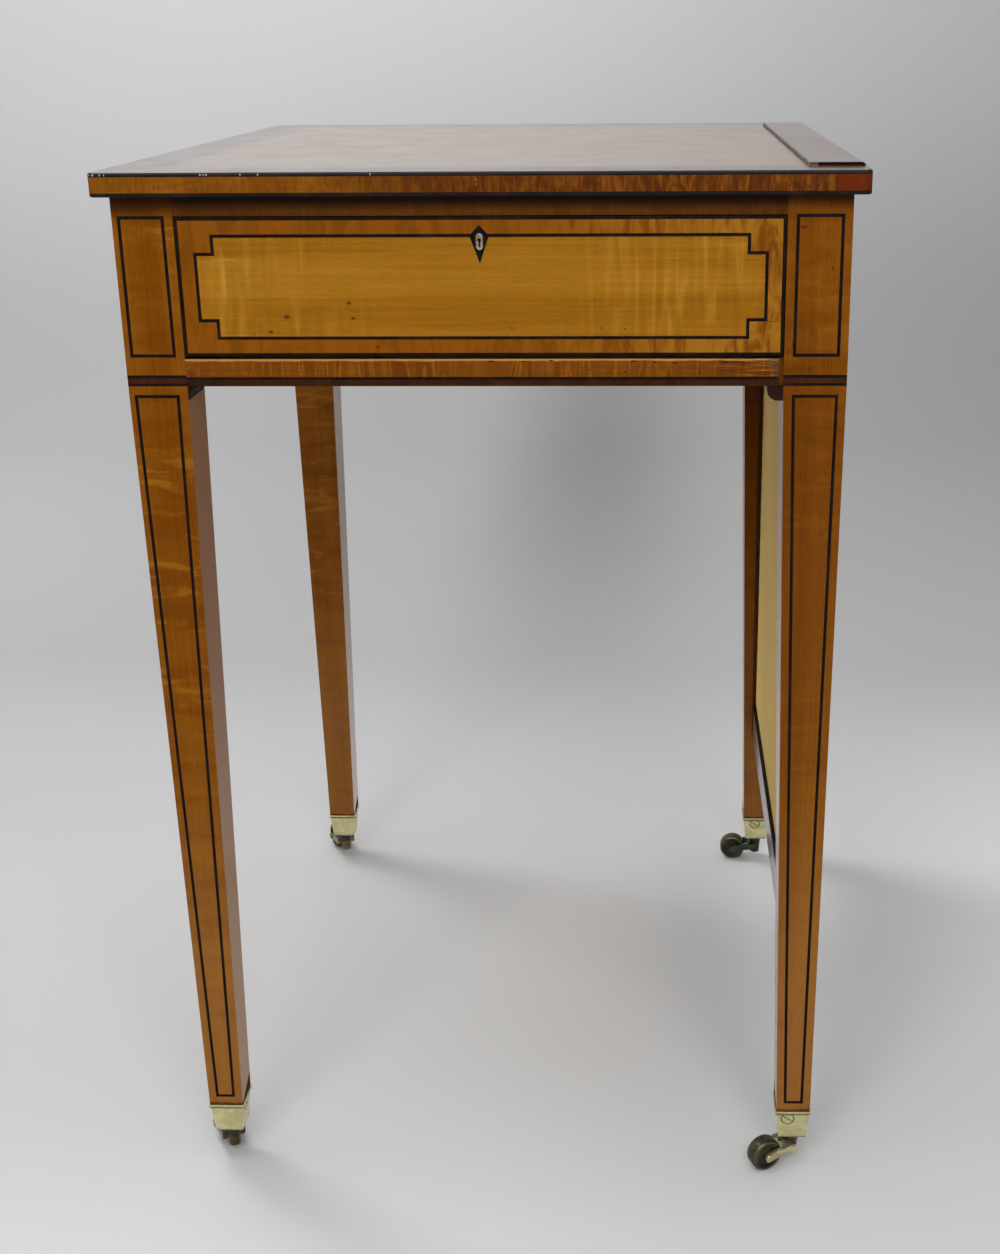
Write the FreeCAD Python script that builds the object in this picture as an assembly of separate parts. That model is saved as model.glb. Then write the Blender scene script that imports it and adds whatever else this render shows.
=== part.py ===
import FreeCAD, Part

import math
import os

from FreeCAD import Vector

# All lengths are in millimetres and all angles in degrees.
# X runs from the sitting side to the fire screen, Y from the drawer end to the far end, Z up.
# The origin is on the floor, under the middle of the top.

# Top
top_width = 490.0
top_length = 545.0
top_height = 750.0
top_thickness = 15.0
top_corner_radius = 4.5
veneer_thickness = 1.0
border_width = 37.0
edge_depth = 1.6
edge_line_height = 2.6
edge_line_round = 1.2
corner_block_length = 21.5

# Legs, which are square in the stile beside the apron and taper below it
side_overhang = 10.0
end_overhang = 11.0
stile_left_width = 39.0
stile_right_width = 41.0
stile_depth = 41.0
toe_width = 25.3
outer_taper = 5.2

# Ebony stringing and collars on the outer faces of the legs
string_width = 2.15
string_depth = 1.2
stile_string_above = 12.5
stile_string_below = 11.7
leg_string_above = 5.8
leg_string_below = 7.3
string_margin_inner = 5.5
string_margin_left_outer = 3.4
string_margin_outer = 5.1
string_margin_toe = 5.5
collar_height = 7.3
collar_line_upper = 2.1
collar_line_lower = 1.8

# Apron
apron_height = 122.2
rail_thickness = 18.0
top_rail_height = 12.8
low_rail_height = 17.8
apron_line_height = 2.0
apron_bead_height = 4.1
apron_bead_depth = 3.0
chip_length = 3.4
chip_depth = 4.0
bracket_width = 7.6
bracket_drop = 9.6
bracket_hollow_share = 0.33
block_width = 10.4
block_drop = 10.0
block_round_share = 0.7
block_inset = 1.2
bracket_length = 37.0

# Drawer in the end
drawer_back_space = 75.0
drawer_side_gap = 0.6
drawer_top_gap = 0.6
drawer_bottom_gap = 2.0
drawer_run_gap = 0.3
drawer_front_thickness = 18.0
drawer_board_thickness = 8.0
drawer_bottom_thickness = 6.0
drawer_groove_depth = 4.0
drawer_groove_height = 6.0
drawer_board_drop = 7.0
drawer_back_drop = 14.0
drawer_line_width = 2.15
drawer_line_depth = 3.0
panel_line_margin = 10.8
panel_notch = 11.4
runner_reach = 9.0
guide_height = 18.0

# Escutcheon and lock
escutcheon_width = 12.7
escutcheon_height = 24.3
escutcheon_drop = 5.4
escutcheon_shoulder_share = 0.27
escutcheon_depth = 1.0
liner_width = 4.4
liner_height = 10.6
liner_drop = 5.1
liner_depth = 2.4
key_pin_radius = 1.2
key_pin_share = 0.4
key_slot_width = 1.1
key_slot_length = 4.6
lock_width = 42.0
lock_height = 32.0
lock_thickness = 10.0
lock_let_in = 7.0
lock_wall = 1.6
bolt_width = 13.0
bolt_thickness = 4.6
bolt_height = 15.0
bolt_travel = 6.0
bolt_clearance = 0.25

# Fire screen and its cap, which is the right-hand border of the top
cap_proud = 2.0
cap_clearance = 0.35
cap_round = 3.0
cap_line_width = 1.0
cap_line_depth = 4.0
lost_line_length = 6.0
screen_thickness = 7.0
screen_bottom_height = 150.0
screen_groove_depth = 14.0
screen_clearance = 0.3
screen_pocket_gap = 2.0
screen_stile_width = 14.0
screen_rail_height = 30.0
screen_bead_height = 2.6
screen_bead_proud = 0.3
screen_fabric_inset = 0.3
screen_spring_length = 160.0
screen_spring_rise = 12.0
screen_spring_thickness = 0.8

# Castors
cup_top_height = 51.3
cup_bottom_height = 26.5
cup_lip_width = 27.0
cup_lip_height = 2.2
cup_upper_width = 24.6
cup_lower_width = 20.8
cup_wall = 1.6
cup_floor = 3.0
castor_trail = 23.5
wheel_radius = 12.6
wheel_width = 12.0
wheel_tread_round = 2.4
wheel_dish_radius = 8.6
wheel_dish_depth = 1.0
wheel_hub_radius = 4.2
wheel_side_gap = 0.35
axle_radius = 2.0
axle_clearance = 0.05
axle_head_radius = 2.9
axle_head_height = 0.7
horn_gap = 0.3
horn_boss_upper_radius = 6.2
horn_boss_lower_radius = 4.6
horn_boss_height = 18.5
horn_arm_thickness = 2.6
horn_arm_root_height = 6.4
horn_arm_root_drop = 7.0
horn_arm_sag = 0.6
horn_eye_radius = 3.3
horn_crown_reach = 7.4
stud_radius = 3.0
stud_clearance = 0.05
stud_head_radius = 4.4
stud_head_height = 1.2
stud_chamber_clearance = 0.4
screw_head_radius = 4.6
screw_head_depth = 1.9
screw_shank_radius = 1.9
screw_length = 11.0
screw_drop = 7.2
screw_slot_width = 1.1
screw_slot_depth = 0.9
screw_slot_angle = -36.0

# One overrun for every cut that passes through a face, and how near counts as the same place
overrun = 5.0
same_place = 0.001

# Legs by name: which side and which end they stand at, the way the castor trails,
# the way the castor's screw faces, and where the screw sits along its face
legs = {
    "front_left": {"side": -1, "end": -1, "trail_angle": 120.0, "screw_angle": 0.0, "screw_share": 0.0},
    "front_right": {"side": 1, "end": -1, "trail_angle": 207.0, "screw_angle": -90.0, "screw_share": -0.15},
    "back_left": {"side": -1, "end": 1, "trail_angle": 120.0, "screw_angle": 0.0, "screw_share": 0.0},
    "back_right": {"side": 1, "end": 1, "trail_angle": 178.0, "screw_angle": -90.0, "screw_share": -0.04},
}

# Places that several pieces share
half_width = top_width / 2
half_length = top_length / 2
top_under = top_height - top_thickness
border_x = half_width - border_width
border_y = half_length - border_width
apron_bottom = top_under - apron_height
leg_face_x = half_width - side_overhang
leg_face_y = half_length - end_overhang
stile_inner_left = -leg_face_x + stile_left_width
stile_inner_right = leg_face_x - stile_right_width
stile_inner_y = leg_face_y - stile_depth
screen_middle_x = leg_face_x - stile_right_width / 2
screen_face_x = screen_middle_x - screen_thickness / 2
screen_back_x = screen_middle_x + screen_thickness / 2
groove_bottom_y = stile_inner_y + screen_groove_depth
screen_end_y = groove_bottom_y - screen_clearance
drawer_left = stile_inner_left + drawer_side_gap
drawer_right = stile_inner_right - drawer_side_gap
drawer_bottom = apron_bottom + low_rail_height + drawer_bottom_gap
drawer_top = top_under - top_rail_height - drawer_top_gap
drawer_middle_x = (drawer_left + drawer_right) / 2
drawer_face_y = -leg_face_y
drawer_inner_y = drawer_face_y + drawer_front_thickness
drawer_end_y = leg_face_y - rail_thickness - drawer_back_space
escutcheon_top = drawer_top - escutcheon_drop
liner_top = escutcheon_top - liner_drop


# Basic shapes

def box(x0, x1, y0, y1, z0, z1):
    """A box between two opposite corners, given in any order."""
    low = Vector(min(x0, x1), min(y0, y1), min(z0, z1))
    return Part.makeBox(abs(x1 - x0), abs(y1 - y0), abs(z1 - z0), low)


def polygon_face(points):
    """A flat face inside a closed outline of straight sides."""
    return Part.Face(Part.makePolygon(points + [points[0]]))


def cylinder(radius, start, end):
    """A round bar between two points."""
    return Part.makeCylinder(radius, (end - start).Length, start, end - start)


def rectangle(x0, x1, y0, y1, z):
    """A closed rectangular wire lying flat at height z."""
    corners = [Vector(x0, y0, z), Vector(x1, y0, z), Vector(x1, y1, z), Vector(x0, y1, z)]
    return Part.makePolygon(corners + [corners[0]])


def frustum(upper, lower):
    """A four-sided tapered block between two flat rectangular wires."""
    return Part.makeLoft([lower, upper], True, True)


def square(centre, width, z):
    """A closed square wire about a centre at height z."""
    half = width / 2
    return rectangle(centre.x - half, centre.x + half, centre.y - half, centre.y + half, z)


def fuse_all(shapes):
    """One solid from shapes that meet."""
    return shapes[0].multiFuse(shapes[1:]).removeSplitter()


# Top

def top_plate(inset, z0, z1):
    """The top's outline with rounded corners, drawn in by inset."""
    plate = box(-half_width + inset, half_width - inset, -half_length + inset, half_length - inset, z0, z1)
    uprights = [edge for edge in plate.Edges if abs(edge.tangentAt(edge.FirstParameter).z) > 0.5]
    return plate.makeFillet(top_corner_radius - inset, uprights)


def cap_notch():
    """The space in the top that the fire screen's cap fills."""
    return box(border_x, half_width + overrun, -border_y, border_y, top_under - overrun,
               top_height + overrun)


def edge_strip(z0, z1, rounded_z=None):
    """A strip let into the top's edge, open where the cap is, with its arris rounded at one height."""
    plate = top_plate(0, z0, z1)
    if rounded_z is not None:
        arris = [edge for edge in plate.Edges
                 if all(abs(end.Z - rounded_z) < same_place for end in edge.Vertexes)]
        plate = plate.makeFillet(edge_line_round, arris)
    ring = plate.cut(top_plate(edge_depth, z0 - overrun, z1 + overrun))
    return ring.cut(cap_notch())


def corner_reach(end):
    """The stretch of edge that a plain corner block fills at the right of one end."""
    reach_y = end * (half_length + overrun)
    start = half_width - corner_block_length
    return box(start, half_width + overrun, end * border_y, reach_y, top_under - overrun,
               top_height + overrun)


def top_pieces():
    """The top's board, veneers, edge strips and plain corner blocks."""
    veneer_under = top_height - veneer_thickness
    upper_line = top_height - edge_line_height
    lower_line = top_under + edge_line_height
    board = top_plate(edge_depth, top_under, veneer_under).cut(cap_notch())
    sheet = top_plate(edge_depth, veneer_under, top_height).cut(cap_notch())
    field_box = box(-border_x, border_x, -border_y, border_y, veneer_under, top_height)
    band = edge_strip(lower_line, upper_line)
    blocks = [band.common(corner_reach(end)) for end in (-1, 1)]
    for end in (-1, 1):
        band = band.cut(corner_reach(end))
    return {
        "top_board": board,
        "top_veneer": sheet.common(field_box),
        "top_crossband": sheet.cut(field_box),
        "top_edge_band": band,
        "top_edge_lines": Part.Compound([edge_strip(upper_line, top_height, top_height),
                                         edge_strip(top_under, lower_line, top_under)]),
        "top_corner_blocks": Part.Compound(blocks),
    }


# Legs

def stile_rectangle(leg):
    """The stile's plan: outer and inner x, outer and inner y."""
    width = stile_left_width if leg["side"] < 0 else stile_right_width
    x_outer = leg["side"] * leg_face_x
    y_outer = leg["end"] * leg_face_y
    return x_outer, x_outer - leg["side"] * width, y_outer, y_outer - leg["end"] * stile_depth


def toe_rectangle(leg):
    """The toe's plan, in the same order."""
    x_outer = leg["side"] * (leg_face_x - outer_taper)
    y_outer = leg["end"] * (leg_face_y - outer_taper)
    return x_outer, x_outer - leg["side"] * toe_width, y_outer, y_outer - leg["end"] * toe_width


def toe_centre(leg):
    """The middle of the toe, which is also the castor's swivel axis."""
    x_outer, x_inner, y_outer, y_inner = toe_rectangle(leg)
    return Vector((x_outer + x_inner) / 2, (y_outer + y_inner) / 2, 0)


def leg_blank(leg):
    """The leg's wood from the cup to the underside of the top."""
    stile = stile_rectangle(leg)
    upper = box(*stile, apron_bottom, top_under)
    lower = frustum(rectangle(*stile, apron_bottom), rectangle(*toe_rectangle(leg), cup_top_height))
    return fuse_all([upper, lower])


def toe_tenon(leg):
    """The part of the toe that the castor's cup holds."""
    centre = toe_centre(leg)
    upper = square(centre, cup_upper_width - 2 * cup_wall, cup_top_height)
    lower = square(centre, cup_lower_width - 2 * cup_wall, cup_bottom_height + cup_floor)
    return frustum(upper, lower)


def face_span(leg, along_x, z):
    """Where the stringing's outer rectangle starts and ends along a face at height z."""
    stile = stile_rectangle(leg)
    toe = toe_rectangle(leg)
    first = 0 if along_x else 2
    left_face = along_x and leg["side"] < 0
    outer_margin = string_margin_left_outer if left_face else string_margin_outer
    share = max(0, (apron_bottom - z) / (apron_bottom - cup_top_height))
    outer = stile[first] + share * (toe[first] - stile[first])
    inner = stile[first + 1] + share * (toe[first + 1] - stile[first + 1])
    inward = math.copysign(1, inner - outer)
    outer_gap = outer_margin + share * (string_margin_toe - outer_margin)
    inner_gap = string_margin_inner + share * (string_margin_toe - string_margin_inner)
    return outer + inward * outer_gap, inner - inward * inner_gap, inward


def string_ring(leg, blank, along_x, z_low, z_high):
    """A rectangular line of stringing let into one outer face of a leg's blank."""
    rings = []
    for inset in (0, string_width):
        points = []
        for z, order in ((z_low + inset, 1), (z_high - inset, -1)):
            outer, inner, inward = face_span(leg, along_x, z)
            ends = [outer + inward * inset, inner - inward * inset][::order]
            points += [Vector(end, 0, z) if along_x else Vector(0, end, z) for end in ends]
        rings.append(polygon_face(points))
    flat = rings[0].cut(rings[1])
    if along_x:
        outward = Vector(0, leg["end"], 0)
        reach = half_length
    else:
        outward = Vector(leg["side"], 0, 0)
        reach = half_width
    skin = blank.cut(blank.translated(outward * -string_depth))
    return flat.extrude(outward * reach).common(skin)


def leg_strings(leg, blank):
    """The four lines of stringing on a leg: stile and taper on each outer face."""
    collar_top = apron_bottom + collar_height
    spans = (
        (collar_top + stile_string_below, top_under - stile_string_above),
        (cup_top_height + leg_string_below, apron_bottom - leg_string_above),
    )
    return [string_ring(leg, blank, along_x, *span) for along_x in (True, False) for span in spans]


def collar_band(leg, blank, z_low, z_high):
    """A band let into the two outer faces of a leg at the foot of its stile."""
    inward = Vector(-leg["side"] * string_depth, -leg["end"] * string_depth, 0)
    slab = box(-half_width, half_width, -half_length, half_length, z_low, z_high)
    return blank.cut(blank.translated(inward)).common(slab)


def collar_levels():
    """Heights of the collar's lower line, brown band and upper line."""
    foot = apron_bottom
    head = apron_bottom + collar_height
    return foot, foot + collar_line_lower, head - collar_line_upper, head


def collar_lines(leg, blank):
    """The two ebony lines of a leg's collar."""
    foot, band_low, band_high, head = collar_levels()
    return [collar_band(leg, blank, foot, band_low), collar_band(leg, blank, band_high, head)]


def collar_brown(leg, blank):
    """The dark brown band between a collar's two lines."""
    levels = collar_levels()
    return collar_band(leg, blank, levels[1], levels[2])


def screen_groove(leg):
    """The groove that the fire screen runs in, in a right-hand leg."""
    half = screen_thickness / 2 + screen_clearance
    start = leg["end"] * (stile_inner_y - overrun)
    end = leg["end"] * groove_bottom_y
    foot = screen_bottom_height - screen_clearance
    return box(screen_middle_x - half, screen_middle_x + half, start, end, foot, top_under + overrun)


def stud_chamber(leg):
    """The hollow in the toe that clears the head of the castor's stud."""
    centre = toe_centre(leg)
    floor_top = cup_bottom_height + cup_floor
    depth = stud_head_height + 2 * stud_chamber_clearance
    radius = stud_head_radius + stud_chamber_clearance
    return cylinder(radius, centre + Vector(0, 0, floor_top), centre + Vector(0, 0, floor_top + depth))


def make_leg(leg, blank, inlays):
    """A finished leg with its grooves, seats and tenon."""
    body = fuse_all([blank, toe_tenon(leg)])
    cuts = inlays + [stud_chamber(leg), castor_screw(leg, False)]
    if leg["side"] > 0:
        cuts.append(screen_groove(leg))
    return body.cut(Part.Compound(cuts))


# Apron

def rail_boxes():
    """The apron's rails, each with the way that its show face looks."""
    x_left = stile_inner_left
    x_right = stile_inner_right
    y_in = stile_inner_y
    outer_in = screen_back_x + screen_pocket_gap
    return {
        "end_low_rail": (box(x_left, x_right, -leg_face_y, -y_in, apron_bottom,
                             apron_bottom + low_rail_height), Vector(0, -1, 0)),
        "back_rail": (box(x_left, x_right, leg_face_y - rail_thickness, leg_face_y, apron_bottom,
                          top_under), Vector(0, 1, 0)),
        "side_rail_left": (box(-leg_face_x, -leg_face_x + rail_thickness, -y_in, y_in, apron_bottom,
                               top_under), Vector(-1, 0, 0)),
        "side_rail_outer": (box(outer_in, leg_face_x, -y_in, y_in, apron_bottom, top_under),
                            Vector(1, 0, 0)),
    }


def face_strip(rail, outward, z_low, z_high, depth):
    """A strip along a rail's show face between two heights."""
    bound = rail.BoundBox
    whole = box(bound.XMin, bound.XMax, bound.YMin, bound.YMax, z_low, z_high)
    return whole.cut(whole.translated(outward * -depth))


def apron_bead(rail, outward):
    """The brown strip along a rail's foot."""
    return face_strip(rail, outward, apron_bottom, apron_bottom + apron_bead_height, apron_bead_depth)


def apron_line(rail, outward):
    """The ebony line above the brown strip."""
    foot = apron_bottom + apron_bead_height
    return face_strip(rail, outward, foot, foot + apron_line_height, string_depth)


def worn_corner():
    """The wood lost from the right-hand front corner of the low rail."""
    start = stile_inner_right - chip_length
    end = -leg_face_y + chip_depth
    return box(start, stile_inner_right + overrun, -leg_face_y - overrun, end,
               apron_bottom - overrun, apron_bottom + low_rail_height + overrun)


def end_top_rail():
    """The rail over the drawer, with the mortise that the lock's bolt shoots into."""
    rail = box(stile_inner_left, stile_inner_right, -leg_face_y, -stile_inner_y, top_under - top_rail_height,
               top_under)
    half_x = bolt_width / 2 + bolt_clearance
    middle_y = bolt_middle_y()
    half_y = bolt_thickness / 2 + bolt_clearance
    depth = bolt_travel + bolt_clearance
    foot = top_under - top_rail_height
    mortise = box(drawer_middle_x - half_x, drawer_middle_x + half_x, middle_y - half_y,
                  middle_y + half_y, foot - overrun, foot + depth)
    return rail.cut(mortise)


def bracket_left():
    """The hollow-moulded bracket between the left stile and the low rail."""
    corner = Vector(stile_inner_left, -leg_face_y + block_inset, apron_bottom)
    foot = corner - Vector(0, 0, bracket_drop)
    head = corner + Vector(bracket_width, 0, 0)
    hollow = Vector(bracket_width, 0, -bracket_drop) * bracket_hollow_share
    outline = [Part.makeLine(corner, foot), Part.Arc(foot, corner + hollow, head).toShape(),
               Part.makeLine(head, corner)]
    return Part.Face(Part.Wire(outline)).extrude(Vector(0, bracket_length, 0))


def bracket_right():
    """The rounded block between the right stile and the low rail."""
    corner = Vector(stile_inner_right, -leg_face_y + block_inset, apron_bottom)
    foot = corner - Vector(0, 0, block_drop)
    side = corner - Vector(block_width, 0, 0)
    bend = min(block_width, block_drop) * block_round_share
    turn = math.radians(45)
    low_start = foot - Vector(block_width - bend, 0, 0)
    high_end = side - Vector(0, 0, block_drop - bend)
    middle = low_start + Vector(-bend * math.sin(turn), 0, bend * (1 - math.cos(turn)))
    outline = [Part.makeLine(corner, foot), Part.makeLine(foot, low_start),
               Part.Arc(low_start, middle, high_end).toShape(), Part.makeLine(high_end, side),
               Part.makeLine(side, corner)]
    return Part.Face(Part.Wire(outline)).extrude(Vector(0, bracket_length, 0))


def drawer_runners():
    """The two bearers under the drawer; the left one also guides its side."""
    head = drawer_bottom - drawer_run_gap
    y_in = stile_inner_y
    left_wall = -leg_face_x + rail_thickness
    left = fuse_all([
        box(left_wall, drawer_left + runner_reach, -y_in, y_in, apron_bottom, head),
        box(left_wall, stile_inner_left, -y_in, y_in, head, head + guide_height),
    ])
    right = box(drawer_right - runner_reach, stile_inner_right, -y_in, y_in, apron_bottom, head)
    return Part.Compound([left, right])


def apron_pieces():
    """Every fixed piece between the legs."""
    rails = rail_boxes()
    beads = {name: apron_bead(*pair) for name, pair in rails.items()}
    lines = {name: apron_line(*pair) for name, pair in rails.items()}
    pieces = {}
    for name, (rail, outward) in rails.items():
        pieces[name] = rail.cut(beads[name]).cut(lines[name])
    pieces["end_low_rail"] = pieces["end_low_rail"].cut(worn_corner())
    lines["end_low_rail"] = lines["end_low_rail"].cut(worn_corner())
    beads["end_low_rail"] = beads["end_low_rail"].cut(worn_corner())
    pieces["apron_lines"] = Part.Compound(list(lines.values()))
    pieces["apron_beads"] = Part.Compound(list(beads.values()))
    pieces["end_top_rail"] = end_top_rail()
    pieces["side_rail_inner"] = box(stile_inner_right, screen_face_x - screen_pocket_gap, -stile_inner_y,
                                    stile_inner_y, apron_bottom, top_under)
    pieces["bracket_left"] = bracket_left()
    pieces["bracket_right"] = bracket_right()
    pieces["drawer_runners"] = drawer_runners()
    return pieces


# Drawer

def front_prism(points, depth):
    """A shape let into the drawer front, from its outline as x and z, depth deep."""
    face = polygon_face([Vector(x, drawer_face_y, z) for x, z in points])
    return face.extrude(Vector(0, depth, 0))


def drawer_outline(inset):
    """The drawer front's rectangle drawn in by inset."""
    x0 = drawer_left + inset
    x1 = drawer_right - inset
    z0 = drawer_bottom + inset
    z1 = drawer_top - inset
    return [(x0, z0), (x1, z0), (x1, z1), (x0, z1)]


def notched_outline(inset):
    """The panel line's rectangle with a square notch in each corner."""
    (x0, z0), _, (x1, z1), _ = drawer_outline(panel_line_margin + inset)
    n = panel_notch
    return [(x0 + n, z0), (x1 - n, z0), (x1 - n, z0 + n), (x1, z0 + n), (x1, z1 - n), (x1 - n, z1 - n),
            (x1 - n, z1), (x0 + n, z1), (x0 + n, z1 - n), (x0, z1 - n), (x0, z0 + n), (x0 + n, z0 + n)]


def drawer_edge_line():
    """The ebony line round the edge of the drawer front."""
    outer = front_prism(drawer_outline(0), drawer_line_depth)
    return outer.cut(front_prism(drawer_outline(drawer_line_width), drawer_line_depth))


def panel_ring():
    """The panel line's full ring with its notched corners."""
    inner = front_prism(notched_outline(string_width), string_depth)
    return front_prism(notched_outline(0), string_depth).cut(inner)


def kite_outline():
    """The escutcheon's kite."""
    shoulder = escutcheon_top - escutcheon_height * escutcheon_shoulder_share
    half = escutcheon_width / 2
    return [(drawer_middle_x, escutcheon_top), (drawer_middle_x - half, shoulder),
            (drawer_middle_x, escutcheon_top - escutcheon_height), (drawer_middle_x + half, shoulder)]


def slot_prism(width, head, foot, y0, y1):
    """An upright slot with round ends, centred on the drawer."""
    radius = width / 2
    shape = box(drawer_middle_x - radius, drawer_middle_x + radius, y0, y1, foot + radius, head - radius)
    ends = [cylinder(radius, Vector(drawer_middle_x, y0, z), Vector(drawer_middle_x, y1, z))
            for z in (foot + radius, head - radius)]
    return fuse_all([shape] + ends)


def liner_blank():
    """The keyhole's metal liner before its hole."""
    return slot_prism(liner_width, liner_top, liner_top - liner_height, drawer_face_y,
                      drawer_face_y + liner_depth)


def keyhole():
    """The hole for the key, from the drawer's face to the lock."""
    pin_z = liner_top - liner_height * key_pin_share
    front = drawer_face_y - overrun
    back = drawer_inner_y - lock_let_in
    pin = cylinder(key_pin_radius, Vector(drawer_middle_x, front, pin_z),
                   Vector(drawer_middle_x, back, pin_z))
    half = key_slot_width / 2
    slot = box(drawer_middle_x - half, drawer_middle_x + half, front, back, pin_z - key_slot_length, pin_z)
    return fuse_all([pin, slot])


def bolt_middle_y():
    """The bolt's middle, from the front to the back of the lock."""
    return drawer_inner_y - lock_let_in + lock_thickness / 2


def lock_case():
    """The lock's box, open at the head for its bolt."""
    half = lock_width / 2
    y0 = drawer_inner_y - lock_let_in
    case = box(drawer_middle_x - half, drawer_middle_x + half, y0, y0 + lock_thickness,
               drawer_top - lock_height, drawer_top)
    half_x = bolt_width / 2 + bolt_clearance
    half_y = bolt_thickness / 2 + bolt_clearance
    middle_y = bolt_middle_y()
    way = box(drawer_middle_x - half_x, drawer_middle_x + half_x, middle_y - half_y, middle_y + half_y,
              drawer_top - bolt_height - bolt_clearance, drawer_top + overrun)
    foot = drawer_top - lock_height + lock_wall
    works = box(drawer_middle_x - half + lock_wall, drawer_middle_x + half - lock_wall, middle_y - half_y,
                middle_y + half_y, foot, drawer_top - bolt_height - bolt_clearance)
    return case.cut(way).cut(works)


def lock_bolt():
    """The bolt that the key shoots upwards."""
    half = bolt_width / 2
    middle_y = bolt_middle_y()
    return box(drawer_middle_x - half, drawer_middle_x + half, middle_y - bolt_thickness / 2,
               middle_y + bolt_thickness / 2, drawer_top - bolt_height, drawer_top)


def drawer_front():
    """The drawer front, let out for its lines, escutcheon, lock and bottom."""
    front = front_prism(drawer_outline(0), drawer_front_thickness)
    half = lock_width / 2
    lock_seat = box(drawer_middle_x - half, drawer_middle_x + half, drawer_inner_y - lock_let_in,
                    drawer_inner_y + overrun, drawer_top - lock_height, drawer_top + overrun)
    cuts = [drawer_edge_line(), panel_ring(), front_prism(kite_outline(), escutcheon_depth),
            liner_blank(), keyhole(), lock_seat, drawer_bottom_board()]
    for cut in cuts:
        front = front.cut(cut)
    return front


def panel_line():
    """The ebony line of the drawer's panel, cut through by the escutcheon."""
    return panel_ring().cut(front_prism(kite_outline(), string_depth))


def escutcheon():
    """The ebony kite round the keyhole."""
    return front_prism(kite_outline(), escutcheon_depth).cut(liner_blank())


def drawer_bottom_board():
    """The drawer's bottom, held in grooves in the front and sides."""
    reach = drawer_board_thickness - drawer_groove_depth
    foot = drawer_bottom + drawer_groove_height
    return box(drawer_left + reach, drawer_right - reach, drawer_inner_y - drawer_groove_depth,
               drawer_end_y, foot, foot + drawer_bottom_thickness)


def drawer_side(side):
    """One side board, grooved for the bottom."""
    outer = drawer_left if side < 0 else drawer_right
    inner = outer - side * drawer_board_thickness
    board = box(outer, inner, drawer_inner_y, drawer_end_y, drawer_bottom, drawer_top - drawer_board_drop)
    return board.cut(drawer_bottom_board())


def drawer_back():
    """The back board, which stands on the bottom between the sides."""
    foot = drawer_bottom + drawer_groove_height + drawer_bottom_thickness
    return box(drawer_left + drawer_board_thickness, drawer_right - drawer_board_thickness,
               drawer_end_y - drawer_board_thickness, drawer_end_y, foot, drawer_top - drawer_back_drop)


def drawer_pieces():
    """Every piece of the drawer and its lock."""
    return {
        "drawer_front": drawer_front(),
        "drawer_side_left": drawer_side(-1),
        "drawer_side_right": drawer_side(1),
        "drawer_back": drawer_back(),
        "drawer_bottom": drawer_bottom_board(),
        "drawer_edge_line": drawer_edge_line(),
        "drawer_panel_line": panel_line(),
        "escutcheon": escutcheon(),
        "keyhole_liner": liner_blank().cut(keyhole()),
        "lock_case": lock_case(),
        "lock_bolt": lock_bolt(),
    }


# Fire screen

def cap_blank():
    """The cap before its lines, with its outer arris rounded."""
    blank = box(border_x + cap_clearance, half_width, -border_y + cap_clearance,
                border_y - cap_clearance, top_under, top_height + cap_proud)
    arris = [edge for edge in blank.Edges
             if all(abs(end.X - half_width) + abs(end.Z - blank.BoundBox.ZMax) < same_place
                    for end in edge.Vertexes)]
    return blank.makeFillet(cap_round, arris)


def cap_lines():
    """The cap's ebony lines: round its upper edge, less a lost piece, and along its outer edge."""
    blank = cap_blank()
    bound = blank.BoundBox
    foot = bound.ZMax - cap_line_depth
    long_line = box(bound.XMin, bound.XMin + cap_line_width, bound.YMin + lost_line_length,
                    bound.YMax, foot, bound.ZMax)
    back_line = box(bound.XMin + cap_line_width, bound.XMax, bound.YMax - cap_line_width,
                    bound.YMax, foot, bound.ZMax)
    front_line = box(bound.XMin + lost_line_length, bound.XMax, bound.YMin,
                     bound.YMin + cap_line_width, foot, bound.ZMax)
    side = half_width - edge_depth
    inner_y = bound.YMax - cap_line_width
    upper = box(side, half_width, bound.YMin + cap_line_width, inner_y,
                bound.ZMax - edge_line_height, bound.ZMax)
    lower = box(side, half_width, bound.YMin, bound.YMax, top_under,
                top_under + edge_line_height)
    lines = [fuse_all([long_line, back_line]), front_line, upper, lower]
    return [line.common(blank) for line in lines]


def screen_levels():
    """Heights of the screen's foot, the top of its bottom rail, the bead and the cap's underside."""
    rail_top = screen_bottom_height + screen_rail_height
    return screen_bottom_height, rail_top, rail_top + screen_bead_height, top_under


def spring_bed(end):
    """The shallow bed in a screen stile for its friction spring."""
    outer = end * screen_end_y
    inner = end * (screen_end_y - screen_spring_thickness)
    foot = screen_bottom_height + screen_spring_rise
    return box(screen_face_x, screen_back_x, inner, outer, foot, foot + screen_spring_length)


def screen_stile(end):
    """One upright of the screen, which runs in a leg's groove."""
    foot, _, _, head = screen_levels()
    inner = screen_end_y - screen_stile_width
    stile = box(screen_face_x, screen_back_x, end * inner, end * screen_end_y, foot, head)
    return stile.cut(spring_bed(end))


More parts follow.
